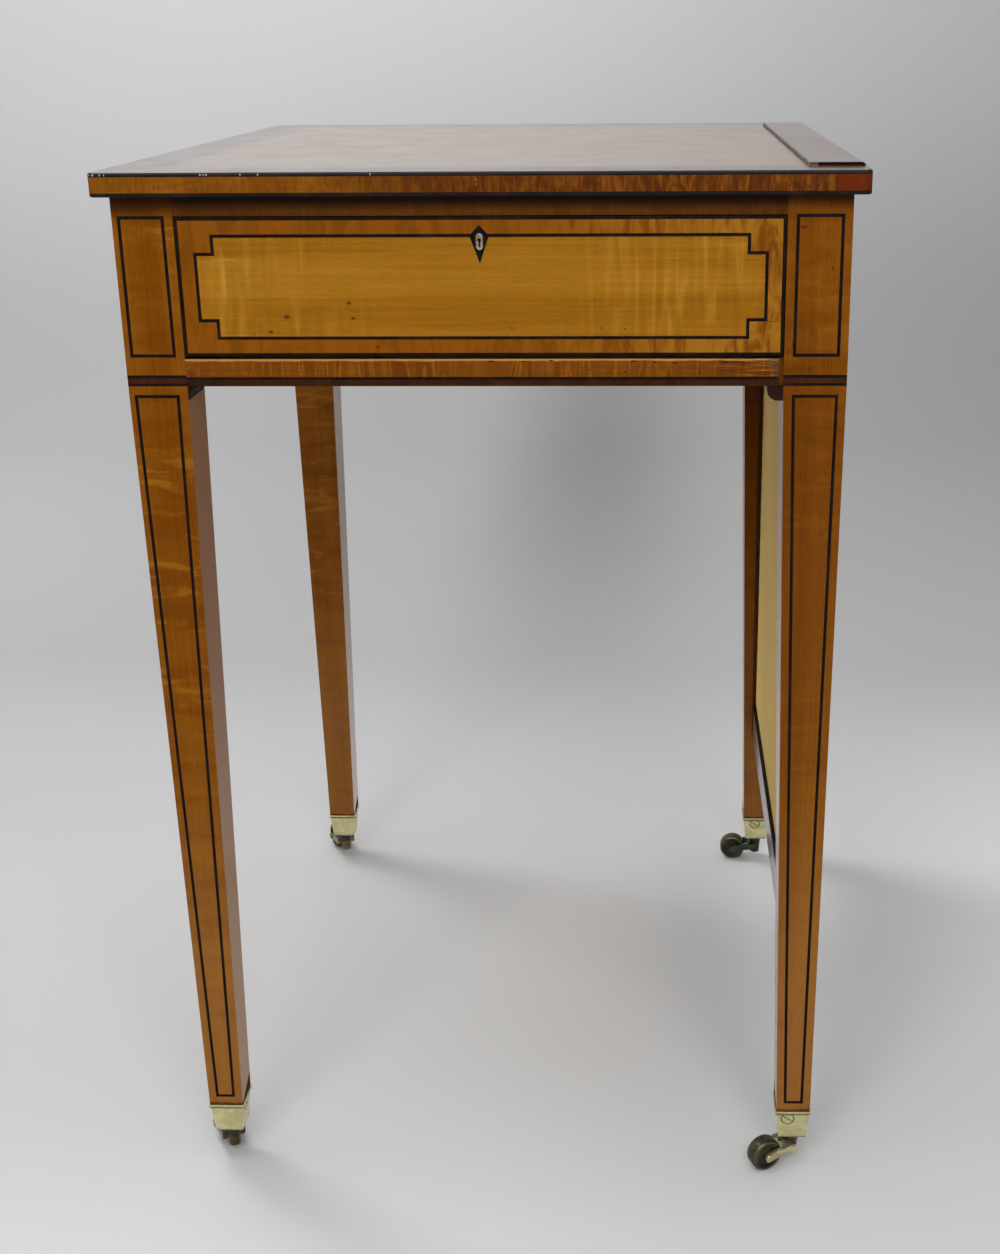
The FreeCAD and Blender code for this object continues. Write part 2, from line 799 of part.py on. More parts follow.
def screen_pieces():
    """The fire screen, its cap and its springs."""
    foot, rail_top, bead_top, head = screen_levels()
    reach = screen_end_y - screen_stile_width
    lines = cap_lines()
    top_rail_foot = head - screen_rail_height
    proud = screen_bead_proud
    inset = screen_fabric_inset
    return {
        "screen_cap": cap_blank().cut(Part.Compound(lines)),
        "cap_lines": Part.Compound(lines),
        "screen_stile_front": screen_stile(-1),
        "screen_stile_back": screen_stile(1),
        "screen_top_rail": box(screen_face_x, screen_back_x, -reach, reach, top_rail_foot, head),
        "screen_bottom_rail": box(screen_face_x, screen_back_x, -reach, reach, foot, rail_top),
        "screen_bead": box(screen_face_x - proud, screen_back_x + proud, -reach, reach, rail_top, bead_top),
        "screen_fabric": box(screen_face_x + inset, screen_back_x - inset, -reach + inset, reach - inset,
                             bead_top + inset, top_rail_foot - inset),
        "screen_springs": Part.Compound([spring_bed(end) for end in (-1, 1)]),
    }


# Castors

def castor_cup(leg):
    """The tapered square cup with its lip, bored for the stud and the screw."""
    centre = toe_centre(leg)
    lip_foot = cup_top_height - cup_lip_height
    half = cup_lip_width / 2
    lip = box(centre.x - half, centre.x + half, centre.y - half, centre.y + half, lip_foot, cup_top_height)
    body = frustum(square(centre, cup_upper_width, lip_foot),
                   square(centre, cup_lower_width, cup_bottom_height))
    bore = cylinder(stud_radius + stud_clearance, centre + Vector(0, 0, cup_bottom_height - overrun),
                    centre + Vector(0, 0, cup_bottom_height + cup_floor + overrun))
    return fuse_all([lip, body]).cut(toe_tenon(leg)).cut(bore).cut(castor_screw(leg, False))


def castor_screw(leg, slotted):
    """A countersunk screw that holds the cup to the toe."""
    z = cup_top_height - screw_drop
    share = (z - cup_bottom_height) / (cup_top_height - cup_lip_height - cup_bottom_height)
    face = (cup_lower_width + share * (cup_upper_width - cup_lower_width)) / 2
    head = Part.makeCone(screw_head_radius, screw_shank_radius, screw_head_depth, Vector(face, 0, z),
                         Vector(-1, 0, 0))
    shank = cylinder(screw_shank_radius, Vector(face, 0, z), Vector(face - screw_length, 0, z))
    screw = fuse_all([head, shank])
    if slotted:
        half = screw_slot_width / 2
        reach = screw_head_radius + overrun
        slot = box(face - screw_slot_depth, face + overrun, -reach, reach, z - half, z + half)
        slot.rotate(Vector(face, 0, z), Vector(1, 0, 0), screw_slot_angle)
        screw = screw.cut(slot)
    screw.translate(Vector(0, leg["screw_share"] * toe_width, 0))
    screw.rotate(Vector(0, 0, 0), Vector(0, 0, 1), leg["screw_angle"])
    screw.translate(toe_centre(leg))
    return screw


def set_castor(shape, leg):
    """Turns a shape made about the swivel axis the way that the castor trails, and places it."""
    shape.rotate(Vector(0, 0, 0), Vector(0, 0, 1), leg["trail_angle"])
    shape.translate(toe_centre(leg))
    return shape


def arm_outline():
    """The flat outline of the horn's arm, curving down from the crown to its eye on the axle."""
    head = cup_bottom_height - horn_gap - horn_arm_root_drop
    foot = head - horn_arm_root_height
    upper_mid = Vector(castor_trail / 2, 0, (head + wheel_radius + horn_eye_radius) / 2 + horn_arm_sag)
    lower_mid = Vector(castor_trail / 2, 0, (foot + wheel_radius - horn_eye_radius) / 2 + horn_arm_sag)
    root_high = Vector(0, 0, head)
    root_low = Vector(0, 0, foot)
    eye_high = Vector(castor_trail, 0, wheel_radius + horn_eye_radius)
    eye_end = Vector(castor_trail + horn_eye_radius, 0, wheel_radius)
    eye_low = Vector(castor_trail, 0, wheel_radius - horn_eye_radius)
    outline = [Part.Arc(root_high, upper_mid, eye_high).toShape(),
               Part.Arc(eye_high, eye_end, eye_low).toShape(),
               Part.Arc(eye_low, lower_mid, root_low).toShape(),
               Part.makeLine(root_low, root_high)]
    return Part.Face(Part.Wire(outline))


def arm_slab(y0, y1):
    """The arm's outline carried sideways from y0 to y1."""
    return arm_outline().extrude(Vector(0, y1 - y0, 0)).translated(Vector(0, y0, 0))


def castor_horn(leg):
    """The horn: boss, crown, two arms and the stud that swivels in the cup."""
    head = cup_bottom_height - horn_gap
    inner = wheel_width / 2 + wheel_side_gap
    outer = inner + horn_arm_thickness
    boss = Part.makeCone(horn_boss_lower_radius, horn_boss_upper_radius, horn_boss_height,
                         Vector(0, 0, head - horn_boss_height))
    reach = box(0, horn_crown_reach, -outer, outer, 0, cup_bottom_height)
    crown = arm_slab(-outer, outer).common(reach)
    arms = [arm_slab(-outer, -inner), arm_slab(inner, outer)]
    floor_top = cup_bottom_height + cup_floor
    stud = cylinder(stud_radius, Vector(0, 0, head), Vector(0, 0, floor_top + stud_chamber_clearance))
    stud_head_foot = floor_top + stud_chamber_clearance
    stud_head = cylinder(stud_head_radius, Vector(0, 0, stud_head_foot),
                         Vector(0, 0, stud_head_foot + stud_head_height))
    horn = fuse_all([boss, crown, stud, stud_head] + arms)
    hole = cylinder(axle_radius, Vector(castor_trail, -outer - overrun, wheel_radius),
                    Vector(castor_trail, outer + overrun, wheel_radius))
    return set_castor(horn.cut(hole), leg)


def castor_wheel(leg):
    """A crowned wheel with dished sides and a hub, bored for the axle."""
    half = wheel_width / 2
    disc = cylinder(wheel_radius, Vector(0, -half, 0), Vector(0, half, 0))
    rims = [edge for edge in disc.Edges if edge.Closed]
    disc = disc.makeFillet(wheel_tread_round, rims)
    for side in (-1, 1):
        dish = cylinder(wheel_dish_radius, Vector(0, side * (half - wheel_dish_depth), 0),
                        Vector(0, side * (half + overrun), 0))
        hub = cylinder(wheel_hub_radius, Vector(0, side * (half - wheel_dish_depth), 0),
                       Vector(0, side * (half + overrun), 0))
        disc = disc.cut(dish.cut(hub))
    bore = cylinder(axle_radius + axle_clearance, Vector(0, -half - overrun, 0),
                    Vector(0, half + overrun, 0))
    wheel = disc.cut(bore).translated(Vector(castor_trail, 0, wheel_radius))
    return set_castor(wheel, leg)


def castor_axle(leg):
    """The axle pin with a riveted head at each end."""
    outer = wheel_width / 2 + wheel_side_gap + horn_arm_thickness
    pieces = [cylinder(axle_radius, Vector(castor_trail, -outer, wheel_radius),
                       Vector(castor_trail, outer, wheel_radius))]
    for side in (-1, 1):
        pieces.append(cylinder(axle_head_radius, Vector(castor_trail, side * outer, wheel_radius),
                               Vector(castor_trail, side * (outer + axle_head_height), wheel_radius)))
    return set_castor(fuse_all(pieces), leg)


# The whole table

def all_pieces():
    """Every piece of the table by name."""
    pieces = {}
    pieces.update(top_pieces())
    strings = []
    collars = []
    for name, leg in legs.items():
        blank = leg_blank(leg)
        lines = leg_strings(leg, blank) + collar_lines(leg, blank)
        collar = collar_brown(leg, blank)
        strings += lines
        collars.append(collar)
        pieces["leg_" + name] = make_leg(leg, blank, lines + [collar])
        pieces["castor_cup_" + name] = castor_cup(leg)
        pieces["castor_horn_" + name] = castor_horn(leg)
        pieces["castor_wheel_" + name] = castor_wheel(leg)
        pieces["castor_axle_" + name] = castor_axle(leg)
    pieces["leg_stringing"] = Part.Compound(strings)
    pieces["leg_collars"] = Part.Compound(collars)
    pieces["castor_screws"] = Part.Compound([castor_screw(leg, True) for leg in legs.values()])
    pieces.update(apron_pieces())
    pieces.update(drawer_pieces())
    pieces.update(screen_pieces())
    return pieces


os.makedirs("parts", exist_ok=True)
for name, shape in all_pieces().items():
    if not shape.isValid() or not shape.Solids:
        raise ValueError(name + " is not a valid solid")
    shape.exportStep("parts/" + name + ".step")
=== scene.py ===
"""A satinwood writing table with a rising fire screen: its finishes, fine pieces and studio, in metres."""

import logging
import math
from collections.abc import Callable, Iterable, Sequence
from dataclasses import dataclass
from enum import Enum

import bmesh
import bpy
from mathutils import Matrix, Vector


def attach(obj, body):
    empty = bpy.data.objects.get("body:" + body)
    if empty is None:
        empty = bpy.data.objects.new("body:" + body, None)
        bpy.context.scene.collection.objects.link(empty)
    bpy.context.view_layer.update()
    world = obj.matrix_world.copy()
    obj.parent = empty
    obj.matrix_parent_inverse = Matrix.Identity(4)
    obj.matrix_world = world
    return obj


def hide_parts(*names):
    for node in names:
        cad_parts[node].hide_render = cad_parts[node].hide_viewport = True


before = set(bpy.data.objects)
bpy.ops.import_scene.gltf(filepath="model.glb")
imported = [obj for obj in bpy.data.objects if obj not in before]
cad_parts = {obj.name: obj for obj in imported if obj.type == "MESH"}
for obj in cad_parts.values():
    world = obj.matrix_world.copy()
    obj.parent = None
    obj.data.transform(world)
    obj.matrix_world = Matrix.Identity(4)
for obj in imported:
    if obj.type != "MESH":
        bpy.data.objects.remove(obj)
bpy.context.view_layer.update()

LOG = logging.getLogger("writing_table")

Colour = tuple[float, float, float]
Triple = tuple[float, float, float]
Value = bpy.types.NodeSocket | float
Piece = bpy.types.Object

# An oval mark on a face that looks at the camera: its X and Z, and its reach along each.
Dot = tuple[float, float, float, float]

# Where the CAD model has the front of its legs and rails, the top's front edge, the toes and the screws.
FRONT = -0.2615
TOP_EDGE = -0.2725
TOE_X = 0.21715
TOE_Y = 0.24365
SCREW_Z = 0.0441

# Woods that several parts share, as their pale, middle and dark colours.
MAHOGANY = ((136, 84, 50), (112, 62, 34), (78, 40, 22))
OAK = ((168, 128, 80), (144, 104, 60), (104, 70, 38))
SATINWOOD = ((146, 90, 22), (118, 66, 8), (82, 40, 3))


class Axis(Enum):
    """A direction of the table, as the place of its number in a triple."""

    X = 0
    Y = 1
    Z = 2


def linear(colour: Colour, light: float = 1.0) -> tuple[float, float, float, float]:
    """Turns a colour as seen on a screen into the light it gives back.

    Args:
        colour: Red, green and blue from 0 to 255.
        light: How much lighter or darker the colour is made.

    Returns:
        The colour that a material's socket takes.
    """
    parts = [c / 255.0 for c in colour]
    curve = [p / 12.92 if p <= 0.04045 else ((p + 0.055) / 1.055) ** 2.4 for p in parts]
    red, green, blue = (min(1.0, c * light) for c in curve)
    return red, green, blue, 1.0


def along(axis: Axis, length: float, width: float) -> Triple:
    """Marks per metre in X, Y and Z, given how many lie along the grain and how many across it."""
    return tuple(length if axis.value == number else width for number in range(3))


class Tree:
    """The nodes of a material or world and the colour laid so far, with short calls for shared patterns."""

    def __init__(self, owner: bpy.types.Material | bpy.types.World) -> None:
        """Clears the owner's nodes and adds the one that tells places."""
        owner.use_nodes = True
        self.owner = owner
        self.nodes = owner.node_tree.nodes
        self.links = owner.node_tree.links
        self.nodes.clear()
        coordinates = self.node("TexCoord").outputs
        self.place = coordinates["Object"]
        self.normal = coordinates["Normal"]
        self.way = coordinates["Generated"]
        self.x, self.y, self.z = self.split(self.place)
        self.colour: object = None

    def put(self, value: object, socket: bpy.types.NodeSocket) -> None:
        """Links a socket to a node's input, or writes a number or colour there."""
        if isinstance(value, bpy.types.NodeSocket):
            self.links.new(value, socket)
        else:
            socket.default_value = value

    def node(self, kind: str, *values: object) -> bpy.types.Node:
        """Adds a node.

        Args:
            kind: Its kind, as Blender names it after ShaderNode.
            *values: What its first inputs take, in their order.

        Returns:
            The node.
        """
        node = self.nodes.new("ShaderNode" + kind)
        for value, socket in zip(values, node.inputs):
            self.put(value, socket)
        return node

    def split(self, vector: Value) -> tuple[Value, Value, Value]:
        """Takes a vector's three numbers."""
        return tuple(self.node("SeparateXYZ", vector).outputs)

    def math(self, step: str, first: Value, second: Value = 0.5, third: Value = 0.5) -> Value:
        """Does one step of arithmetic, named as the Math node names it."""
        node = self.node("Math", first, second, third)
        node.operation = step
        return node.outputs[0]

    def times(self, first: Value, second: Value) -> Value:
        """Multiplies two numbers."""
        return self.math("MULTIPLY", first, second)

    def less(self, first: Value, second: Value) -> Value:
        """Takes the second number from the first."""
        return self.math("SUBTRACT", first, second)

    def plus(self, base: Value, pattern: Value, share: Value) -> Value:
        """Adds a pattern to a number, at that share."""
        return self.math("MULTIPLY_ADD", pattern, share, base)

    def most(self, first: Value, second: Value) -> Value:
        """Takes the larger of two numbers."""
        return self.math("MAXIMUM", first, second)

    def swing(self, tone: Value, pattern: Value, share: Value) -> Value:
        """Adds a pattern that runs from 0 to 1 to a tone, above and below it, at that share."""
        return self.plus(tone, self.less(pattern, 0.5), share)

    def apart(self, first: Value, second: Value) -> Value:
        """How far two numbers lie from each other."""
        return self.math("ABSOLUTE", self.less(first, second))

    def band(self, value: Value, low: float, high: float, start: float = 0.0, end: float = 1.0) -> Value:
        """Turns a range of values smoothly into another.

        Args:
            value: The number that is read.
            low: Where the change starts.
            high: Where the change ends.
            start: The result at and below low.
            end: The result at and above high.

        Returns:
            The result.
        """
        node = self.node("MapRange", value, low, high, start, end)
        node.interpolation_type = "SMOOTHSTEP"
        return node.outputs[0]

    def below(self, value: Value, low: float, high: float) -> Value:
        """Marks where a number is low, fading out from low to high."""
        return self.band(value, low, high, 1.0, 0.0)

    def between(self, value: Value, low: float, high: float, soft: float = 0.0004) -> Value:
        """Marks where a number lies between two others, with a soft edge."""
        above = self.band(value, low - soft, low + soft)
        return self.times(above, self.below(value, high - soft, high + soft))

    def noise(self, per_metre: Triple, detail: float = 2.0, bend: float = 0.0,
              start: Triple = (0.0, 0.0, 0.0), rough: float = 0.5) -> Value:
        """Makes a random pattern, fixed to the piece.

        Args:
            per_metre: Marks per metre in X, Y and Z.
            detail: How many finer layers it has.
            bend: How far its marks wander.
            start: Where in the pattern the piece's origin lies.
            rough: How strong the finer layers are.

        Returns:
            A number round 0.5.
        """
        spread = self.node("Mapping", self.place, start)
        spread.inputs["Scale"].default_value = per_metre
        node = self.node("TexNoise", spread.outputs[0])
        for key, value in (("Scale", 1.0), ("Detail", detail), ("Roughness", rough), ("Distortion", bend)):
            node.inputs[key].default_value = value
        return node.outputs[0]

    def mix(self, share: Value, first: object, second: object, mode: str = "MIX") -> Value:
        """Mixes two colours.

        Args:
            share: How much of the second is taken, from 0 to 1.
            first: The colour at 0.
            second: The colour at 1.
            mode: The blend, as the Mix node names it.

        Returns:
            The mixed colour.
        """
        node = self.node("Mix", share)
        node.data_type = "RGBA"
        node.blend_type = mode
        self.put(first, node.inputs[6])
        self.put(second, node.inputs[7])
        return node.outputs[2]

    def lay(self, share: Value, colour: object) -> None:
        """Lays a colour over the colour so far, at that share."""
        self.colour = self.mix(share, self.colour, colour)

    def stain(self, mask: Value, share: Value, stain: Colour, light: float = 1.0) -> None:
        """Lays a stain where the mask is, at that share, made lighter or darker by light."""
        self.lay(self.times(mask, share), linear(stain, light))

    def ramp(self, value: Value, stops: Sequence[tuple[float, Colour]]) -> Value:
        """Reads a colour off a row of colours.

        Args:
            value: The place in the row.
            stops: Places and their colours, in order.

        Returns:
            The colour at that place.
        """
        node = self.node("ValToRGB", value)
        row = node.color_ramp.elements
        while len(row) < len(stops):
            row.new(0.5)
        for element, (place, colour) in zip(row, stops):
            element.position = place
            element.color = linear(colour)
        return node.outputs[0]

    def spot(self, centre: Triple, reach: Triple, soft: float = 0.45) -> Value:
        """Marks a round or oval place on the piece.

        Args:
            centre: The middle of the place.
            reach: How far it goes in X, Y and Z.
            soft: The share of its reach over which it fades.

        Returns:
            1 inside the place and 0 outside.
        """
        shift = self.node("VectorMath", self.place, centre)
        shift.operation = "SUBTRACT"
        shrink = self.node("VectorMath", shift.outputs[0], reach)
        shrink.operation = "DIVIDE"
        length = self.node("VectorMath", shrink.outputs[0])
        length.operation = "LENGTH"
        return self.below(length.outputs["Value"], 1.0 - soft, 1.0)

    def dots(self, dots: Iterable[Dot], face: float, depth: float, soft: float) -> Value:
        """Marks several ovals on a face that looks at the camera.

        Args:
            dots: The ovals.
            face: The Y of the face.
            depth: How deep the marks go into the wood.
            soft: The share of their reach over which they fade.

        Returns:
            1 inside the ovals and 0 outside.
        """
        total: Value = 0.0
        for x, z, wide, high in dots:
            total = self.most(total, self.spot((x, face, z), (wide, depth, high), soft))
        return total

    def bump(self, height: Value, depth: float, strength: float = 1.0) -> Value:
        """Turns a pattern into fine relief of that depth in metres."""
        node = self.node("Bump", strength, depth)
        self.put(height, node.inputs["Height"])
        return node.outputs[0]

    def shade(self, **values: object) -> None:
        """Closes the material with a shader of the colour so far; inputs are named with _ for a space."""
        shader = self.node("BsdfPrincipled", self.colour)
        for key, value in values.items():
            self.put(value, shader.inputs[key.replace("_", " ")])
        self.node("OutputMaterial", shader.outputs[0])


@dataclass(frozen=True)
class Finish:
    """What every finish has: a name, and a way to make its material."""

    name: str

    def paint(self, tree: Tree) -> None:
        """Fills the material's nodes."""
        raise NotImplementedError

    def material(self) -> bpy.types.Material:
        """Makes the material."""
        tree = Tree(bpy.data.materials.new(self.name))
        self.paint(tree)
        return tree.owner


@dataclass(frozen=True)
class Wood(Finish):
    """Polished wood with its grain along one axis."""

    axis: Axis
    pale: Colour
    middle: Colour
    dark: Colour
    lines: float = 0.32
    broad: float = 0.55
    ripple: float = 0.7
    ripple_pitch: float = 70.0
    crest: float = 0.12
    pores: float = 0.22
    rough: float = 0.34
    smear: float = 0.16
    coat: float = 0.03
    coat_rough: float = 0.14
    gloss: float = 0.07
    relief: float = 0.00006
    seed: float = 0.0

    def start(self, step: float = 0.0) -> Triple:
        """Where in a random pattern this finish begins."""
        return self.seed + step, 3.1 * self.seed - step, 1.7 * self.seed + 2.0 * step

    def stripes(self, tree: Tree, axis: Axis) -> Value:
        """The wood's light and dark with the grain along an axis, from 0 for pale to 1 for dark."""
        fine = tree.noise(along(axis, 8.0, 560.0), 3.0, 0.25, self.start(), 0.6)
        broad = tree.noise(along(axis, 2.0, 36.0), 3.0, 0.5, self.start(5.0))
        bars = tree.noise(along(axis, self.ripple_pitch, 13.0), 1.5, 0.7, self.start(9.0))
        patches = tree.band(tree.noise((7.0, 7.0, 7.0), 1.0, 0.4, self.start(13.0)), 0.30, 0.52)
        crests = tree.times(tree.below(tree.apart(bars, 0.53), 0.0, 0.045), patches)
        tone = tree.swing(0.5, fine, self.lines)
        tone = tree.swing(tone, broad, self.broad)
        tone = tree.swing(tone, bars, tree.times(patches, self.ripple))
        return tree.plus(tone, crests, -self.crest)

    def tone(self, tree: Tree) -> Value:
        """The light and dark of this finish."""
        return self.stripes(tree, self.axis)

    def marks(self, tree: Tree) -> None:
        """Adds this finish's own marks to its colour; plain wood has none."""

    def smears(self, tree: Tree) -> Value:
        """The smears in the polish."""
        return tree.noise((22.0, 22.0, 22.0), 3.0, 0.3, self.start(21.0))

    def polish(self, tree: Tree) -> Value:
        """How rough the polish is."""
        return tree.swing(self.rough, self.smears(tree), self.smear)

    def lacquer(self, tree: Tree) -> Value:
        """How much of a clear coat lies over the wood."""
        return self.coat

    def paint(self, tree: Tree) -> None:
        """Paints the wood: its tone, its pores, its marks and its polish."""
        tone = self.tone(tree)
        pores = tree.band(tree.noise(along(self.axis, 150.0, 2300.0), 1.0, 0.0, self.start(17.0)), 0.58, 0.72)
        tree.colour = tree.ramp(tone, ((0.14, self.pale), (0.5, self.middle), (0.9, self.dark)))
        tree.stain(pores, self.pores, self.dark, 0.35)
        self.marks(tree)
        height = tree.swing(tree.times(pores, -0.7), tone, 0.35)
        tree.shade(Roughness=self.polish(tree), Normal=tree.bump(height, self.relief),
                   Coat_Weight=self.lacquer(tree), Coat_Roughness=self.coat_rough,
                   Specular_IOR_Level=self.gloss)


@dataclass(frozen=True)
class FieldVeneer(Wood):
    """The top's middle: glossy satinwood with pale scuffs and thin scratches."""

    def marks(self, tree: Tree) -> None:
        """Adds the scuffs and scratches."""
        scratches = tree.band(tree.noise((9.0, 900.0, 1.0), 1.0, 1.2, self.start(4.0)), 0.70, 0.76)
        scuffs = tree.band(tree.noise((14.0, 14.0, 1.0), 4.0, 0.6, self.start(6.0)), 0.56, 0.74)
        tree.stain(scuffs, 0.12, self.pale, 1.25)
        tree.stain(scratches, 0.30, self.pale, 1.25)


@dataclass(frozen=True)
class Crossband(Wood):
    """The top's border: short grain that turns at the mitres of the field's corners."""

    half_width: float = 0.208
    half_length: float = 0.2355

    def tone(self, tree: Tree) -> Value:
        """Grain across each side of the border."""
        over_x = tree.less(tree.math("ABSOLUTE", tree.x), self.half_width)
        over_y = tree.less(tree.math("ABSOLUTE", tree.y), self.half_length)
        ends = tree.math("GREATER_THAN", over_y, over_x)
        sides = self.stripes(tree, Axis.X)
        return tree.plus(sides, ends, tree.less(self.stripes(tree, Axis.Y), sides))


@dataclass(frozen=True)
class EdgeBand(Wood):
    """The crossbanded edge: upright figure, golden at the left, red brown at the right, with a hair crack."""

    bar: Colour = (92, 50, 8)
    red: Colour = (102, 52, 7)
    deep: Colour = (70, 31, 4)
    flame: Colour = (134, 80, 18)
    middle_z: float = 0.742

    def marks(self, tree: Tree) -> None:
        """Adds the redder part with its upright flames, the crack and its filling."""
        wander = tree.swing(tree.x, tree.noise((16.0, 16.0, 8.0), 2.0), 0.10)
        bars = tree.noise((230.0, 230.0, 62.0), 3.0, 1.1, self.start(3.0), 0.6)
        tree.lay(tree.band(bars, 0.42, 0.66, 0.0, 0.45), linear(self.bar))
        redder = tree.mix(tree.band(bars, 0.36, 0.70), linear(self.red), linear(self.deep))
        share = tree.plus(0.12, tree.band(tree.x, -0.05, 0.14), 0.62)
        flames = tree.times(tree.below(bars, 0.28, 0.50), share)
        redder = tree.mix(flames, redder, linear(self.flame))
        tree.lay(tree.times(tree.band(wander, -0.17, -0.02), 0.92), redder)
        front = tree.math("LESS_THAN", tree.y, -0.26)
        lean = tree.plus(tree.x, tree.less(tree.z, self.middle_z), -0.55)
        crack = tree.between(tree.swing(lean, tree.noise((90.0, 1.0, 300.0)), 0.003), 0.0010, 0.0012, 0.0002)
        tree.stain(tree.times(crack, front), 0.8, (30, 12, 4))
        filler = tree.dots(((-0.0009, 0.7452, 0.0003, 0.0010), (-0.0005, 0.7424, 0.0003, 0.0007)),
                           TOP_EDGE, 0.004, 0.8)
        tree.stain(filler, 0.7, (186, 170, 142))


@dataclass(frozen=True)
class LegVeneer(Wood):
    """A leg: wavy figure across the upright grain, a painted floor sheen low down and on its inner side, a
    painted shadow under the top, and a darker wedge and line low down by the castor's cup.
    """

    axis: Axis = Axis.Z
    pale: Colour = (148, 92, 20)
    middle: Colour = (120, 66, 6)
    dark: Colour = (84, 42, 2)
    ripple: float = 0.45
    ripple_pitch: float = 62.0
    crest: float = 0.04
    rough: float = 0.27
    side: float = 1.0
    end: float = -1.0
    low_sheen: float = 0.12
    inner_coat: float = 0.12
    high_coat: float = 0.45
    inner_rough: float = 0.13
    waves: float = 0.34
    high_dark: float = 0.0
    overhang_shadow_foot: float = 0.719
    overhang_shadow_base: float = 0.702
    knots: tuple[Dot, ...] = ()
    toe: float = 0.0254
    cup_top: float = 0.0513
    cup_slope: float = 0.013

    def tone(self, tree: Tree) -> Value:
        """The leg's figure with its bright waves, paler low down as painted floor sheen, paler on the inner
        side as painted sheen, and darker under the collar where given, as painted shade on the back right
        leg.
        """
        # Darker high up under the collar by high_dark; on the back right leg this is painted shade.
        shaded = tree.times(tree.band(tree.z, 0.40, 0.60, 0.0, self.high_dark),
                            tree.below(tree.z, 0.628, 0.632))
        # Painted floor sheen: the tone turns paler low down, and paler again on the face that looks across
        # the table.
        fade = tree.math("ADD", tree.band(tree.z, 0.10, 0.42, -self.low_sheen, 0.0), shaded)
        inner = tree.times(self.inner_side(tree), tree.band(tree.z, 0.14, 0.46, -0.80, -0.45))
        waves = tree.band(tree.noise((26.0, 26.0, 105.0), 2.0, 0.8, self.start(25.0)), 0.53, 0.66)
        where = tree.band(tree.noise((9.0, 9.0, 9.0), 1.0, 0.4, self.start(29.0)), 0.40, 0.58, 0.15, 1.0)
        where = tree.times(where, tree.band(tree.z, 0.22, 0.48, 0.35, 1.0))
        tone = tree.math("ADD", tree.math("ADD", self.stripes(tree, self.axis), fade), inner)
        return tree.plus(tone, tree.times(waves, where), -self.waves)

    def inner_side(self, tree: Tree) -> Value:
        """Marks the face that looks across the table."""
        return tree.band(tree.times(tree.split(tree.normal)[0], -self.side), 0.80, 0.90)

    def dirt_and_shade(self, tree: Tree) -> Value:
        """Marks the dark wedge on the inner side by the cup, and the dark line over its lip."""
        back = tree.math("DIVIDE", tree.less(tree.y, self.end * TOE_Y), self.toe)
        height = tree.plus(self.cup_top, tree.math("ADD", back, 0.5), self.cup_slope)
        wedge = tree.below(tree.less(tree.z, height), -0.0008, 0.0008)
        wander = tree.swing(tree.z, tree.noise((160.0, 160.0, 30.0), 2.0), 0.004)
        rim = tree.below(wander, self.cup_top + 0.0004, self.cup_top + 0.0032)
        return tree.most(tree.times(wedge, self.inner_side(tree)), tree.times(rim, 0.8))

    def marks(self, tree: Tree) -> None:
        """Adds the painted floor sheen low down and on the inner side, the knots, the painted shadow under
        the top and the darker wedge and line by the cup.
        """
        # Painted reflection of the pale floor: a pale mauve laid low down, more strongly on the inner side.
        floor_sheen = tree.band(tree.z, 0.12, 0.36, 0.11, 0.0)
        inner_sheen = tree.band(tree.z, 0.14, 0.46, 0.48, 0.0)
        floor_sheen = tree.plus(floor_sheen, self.inner_side(tree), inner_sheen)
        tree.lay(floor_sheen, linear((184, 146, 112)))
        if self.knots:
            tree.stain(tree.dots(self.knots, FRONT, 0.004, 0.8), 0.7, (62, 26, 6))
        # Painted shadow under the top's overhang: near black at the top of the leg.
        wander = tree.swing(tree.z, tree.noise((40.0, 40.0, 1.0), 3.0), 0.004)
        overhang_shadow = tree.band(wander, self.overhang_shadow_foot, 2.0 * self.overhang_shadow_foot - self.overhang_shadow_base)
        tree.stain(overhang_shadow, 0.8, (30, 14, 4))
        # Darker wedge on the inner side and darker line over the cup's lip.
        tree.stain(self.dirt_and_shade(tree), 0.92, (26, 16, 8))

    def lacquer(self, tree: Tree) -> Value:
        """A clear coat on the inner side alone, thinner high up, and none on the darker wedge and line by the
        cup.
        """
        clean = tree.less(tree.band(tree.z, 0.36, 0.58, 1.0, self.high_coat), self.dirt_and_shade(tree))
        return tree.times(tree.times(self.inner_side(tree), tree.most(clean, 0.0)), self.inner_coat)

    def polish(self, tree: Tree) -> Value:
        """A glossier inner side, and a dull darker wedge and line by the cup."""
        smears = self.smears(tree)
        outer = tree.swing(self.rough, smears, self.smear)
        inner = tree.swing(self.inner_rough, smears, self.smear / 2.0)
        rough = tree.plus(outer, self.inner_side(tree), tree.less(inner, outer))
        return tree.most(rough, tree.times(self.dirt_and_shade(tree), 0.7))


@dataclass(frozen=True)
class TopRailVeneer(Wood):
    """The rail over the drawer: a painted shadow, darker the nearer it lies under the top."""

    top: float = 0.735
    foot: float = 0.7222

    def marks(self, tree: Tree) -> None:
        """Adds the painted shadow under the top's overhanging edge."""
        # Painted shadow under the top's overhang, near black at the top of the rail.
        wander = tree.swing(tree.z, tree.noise((30.0, 1.0, 1.0), 3.0), 0.003)
        tree.stain(tree.band(wander, self.foot + 0.001, self.top - 0.002), 0.85, (24, 11, 3))


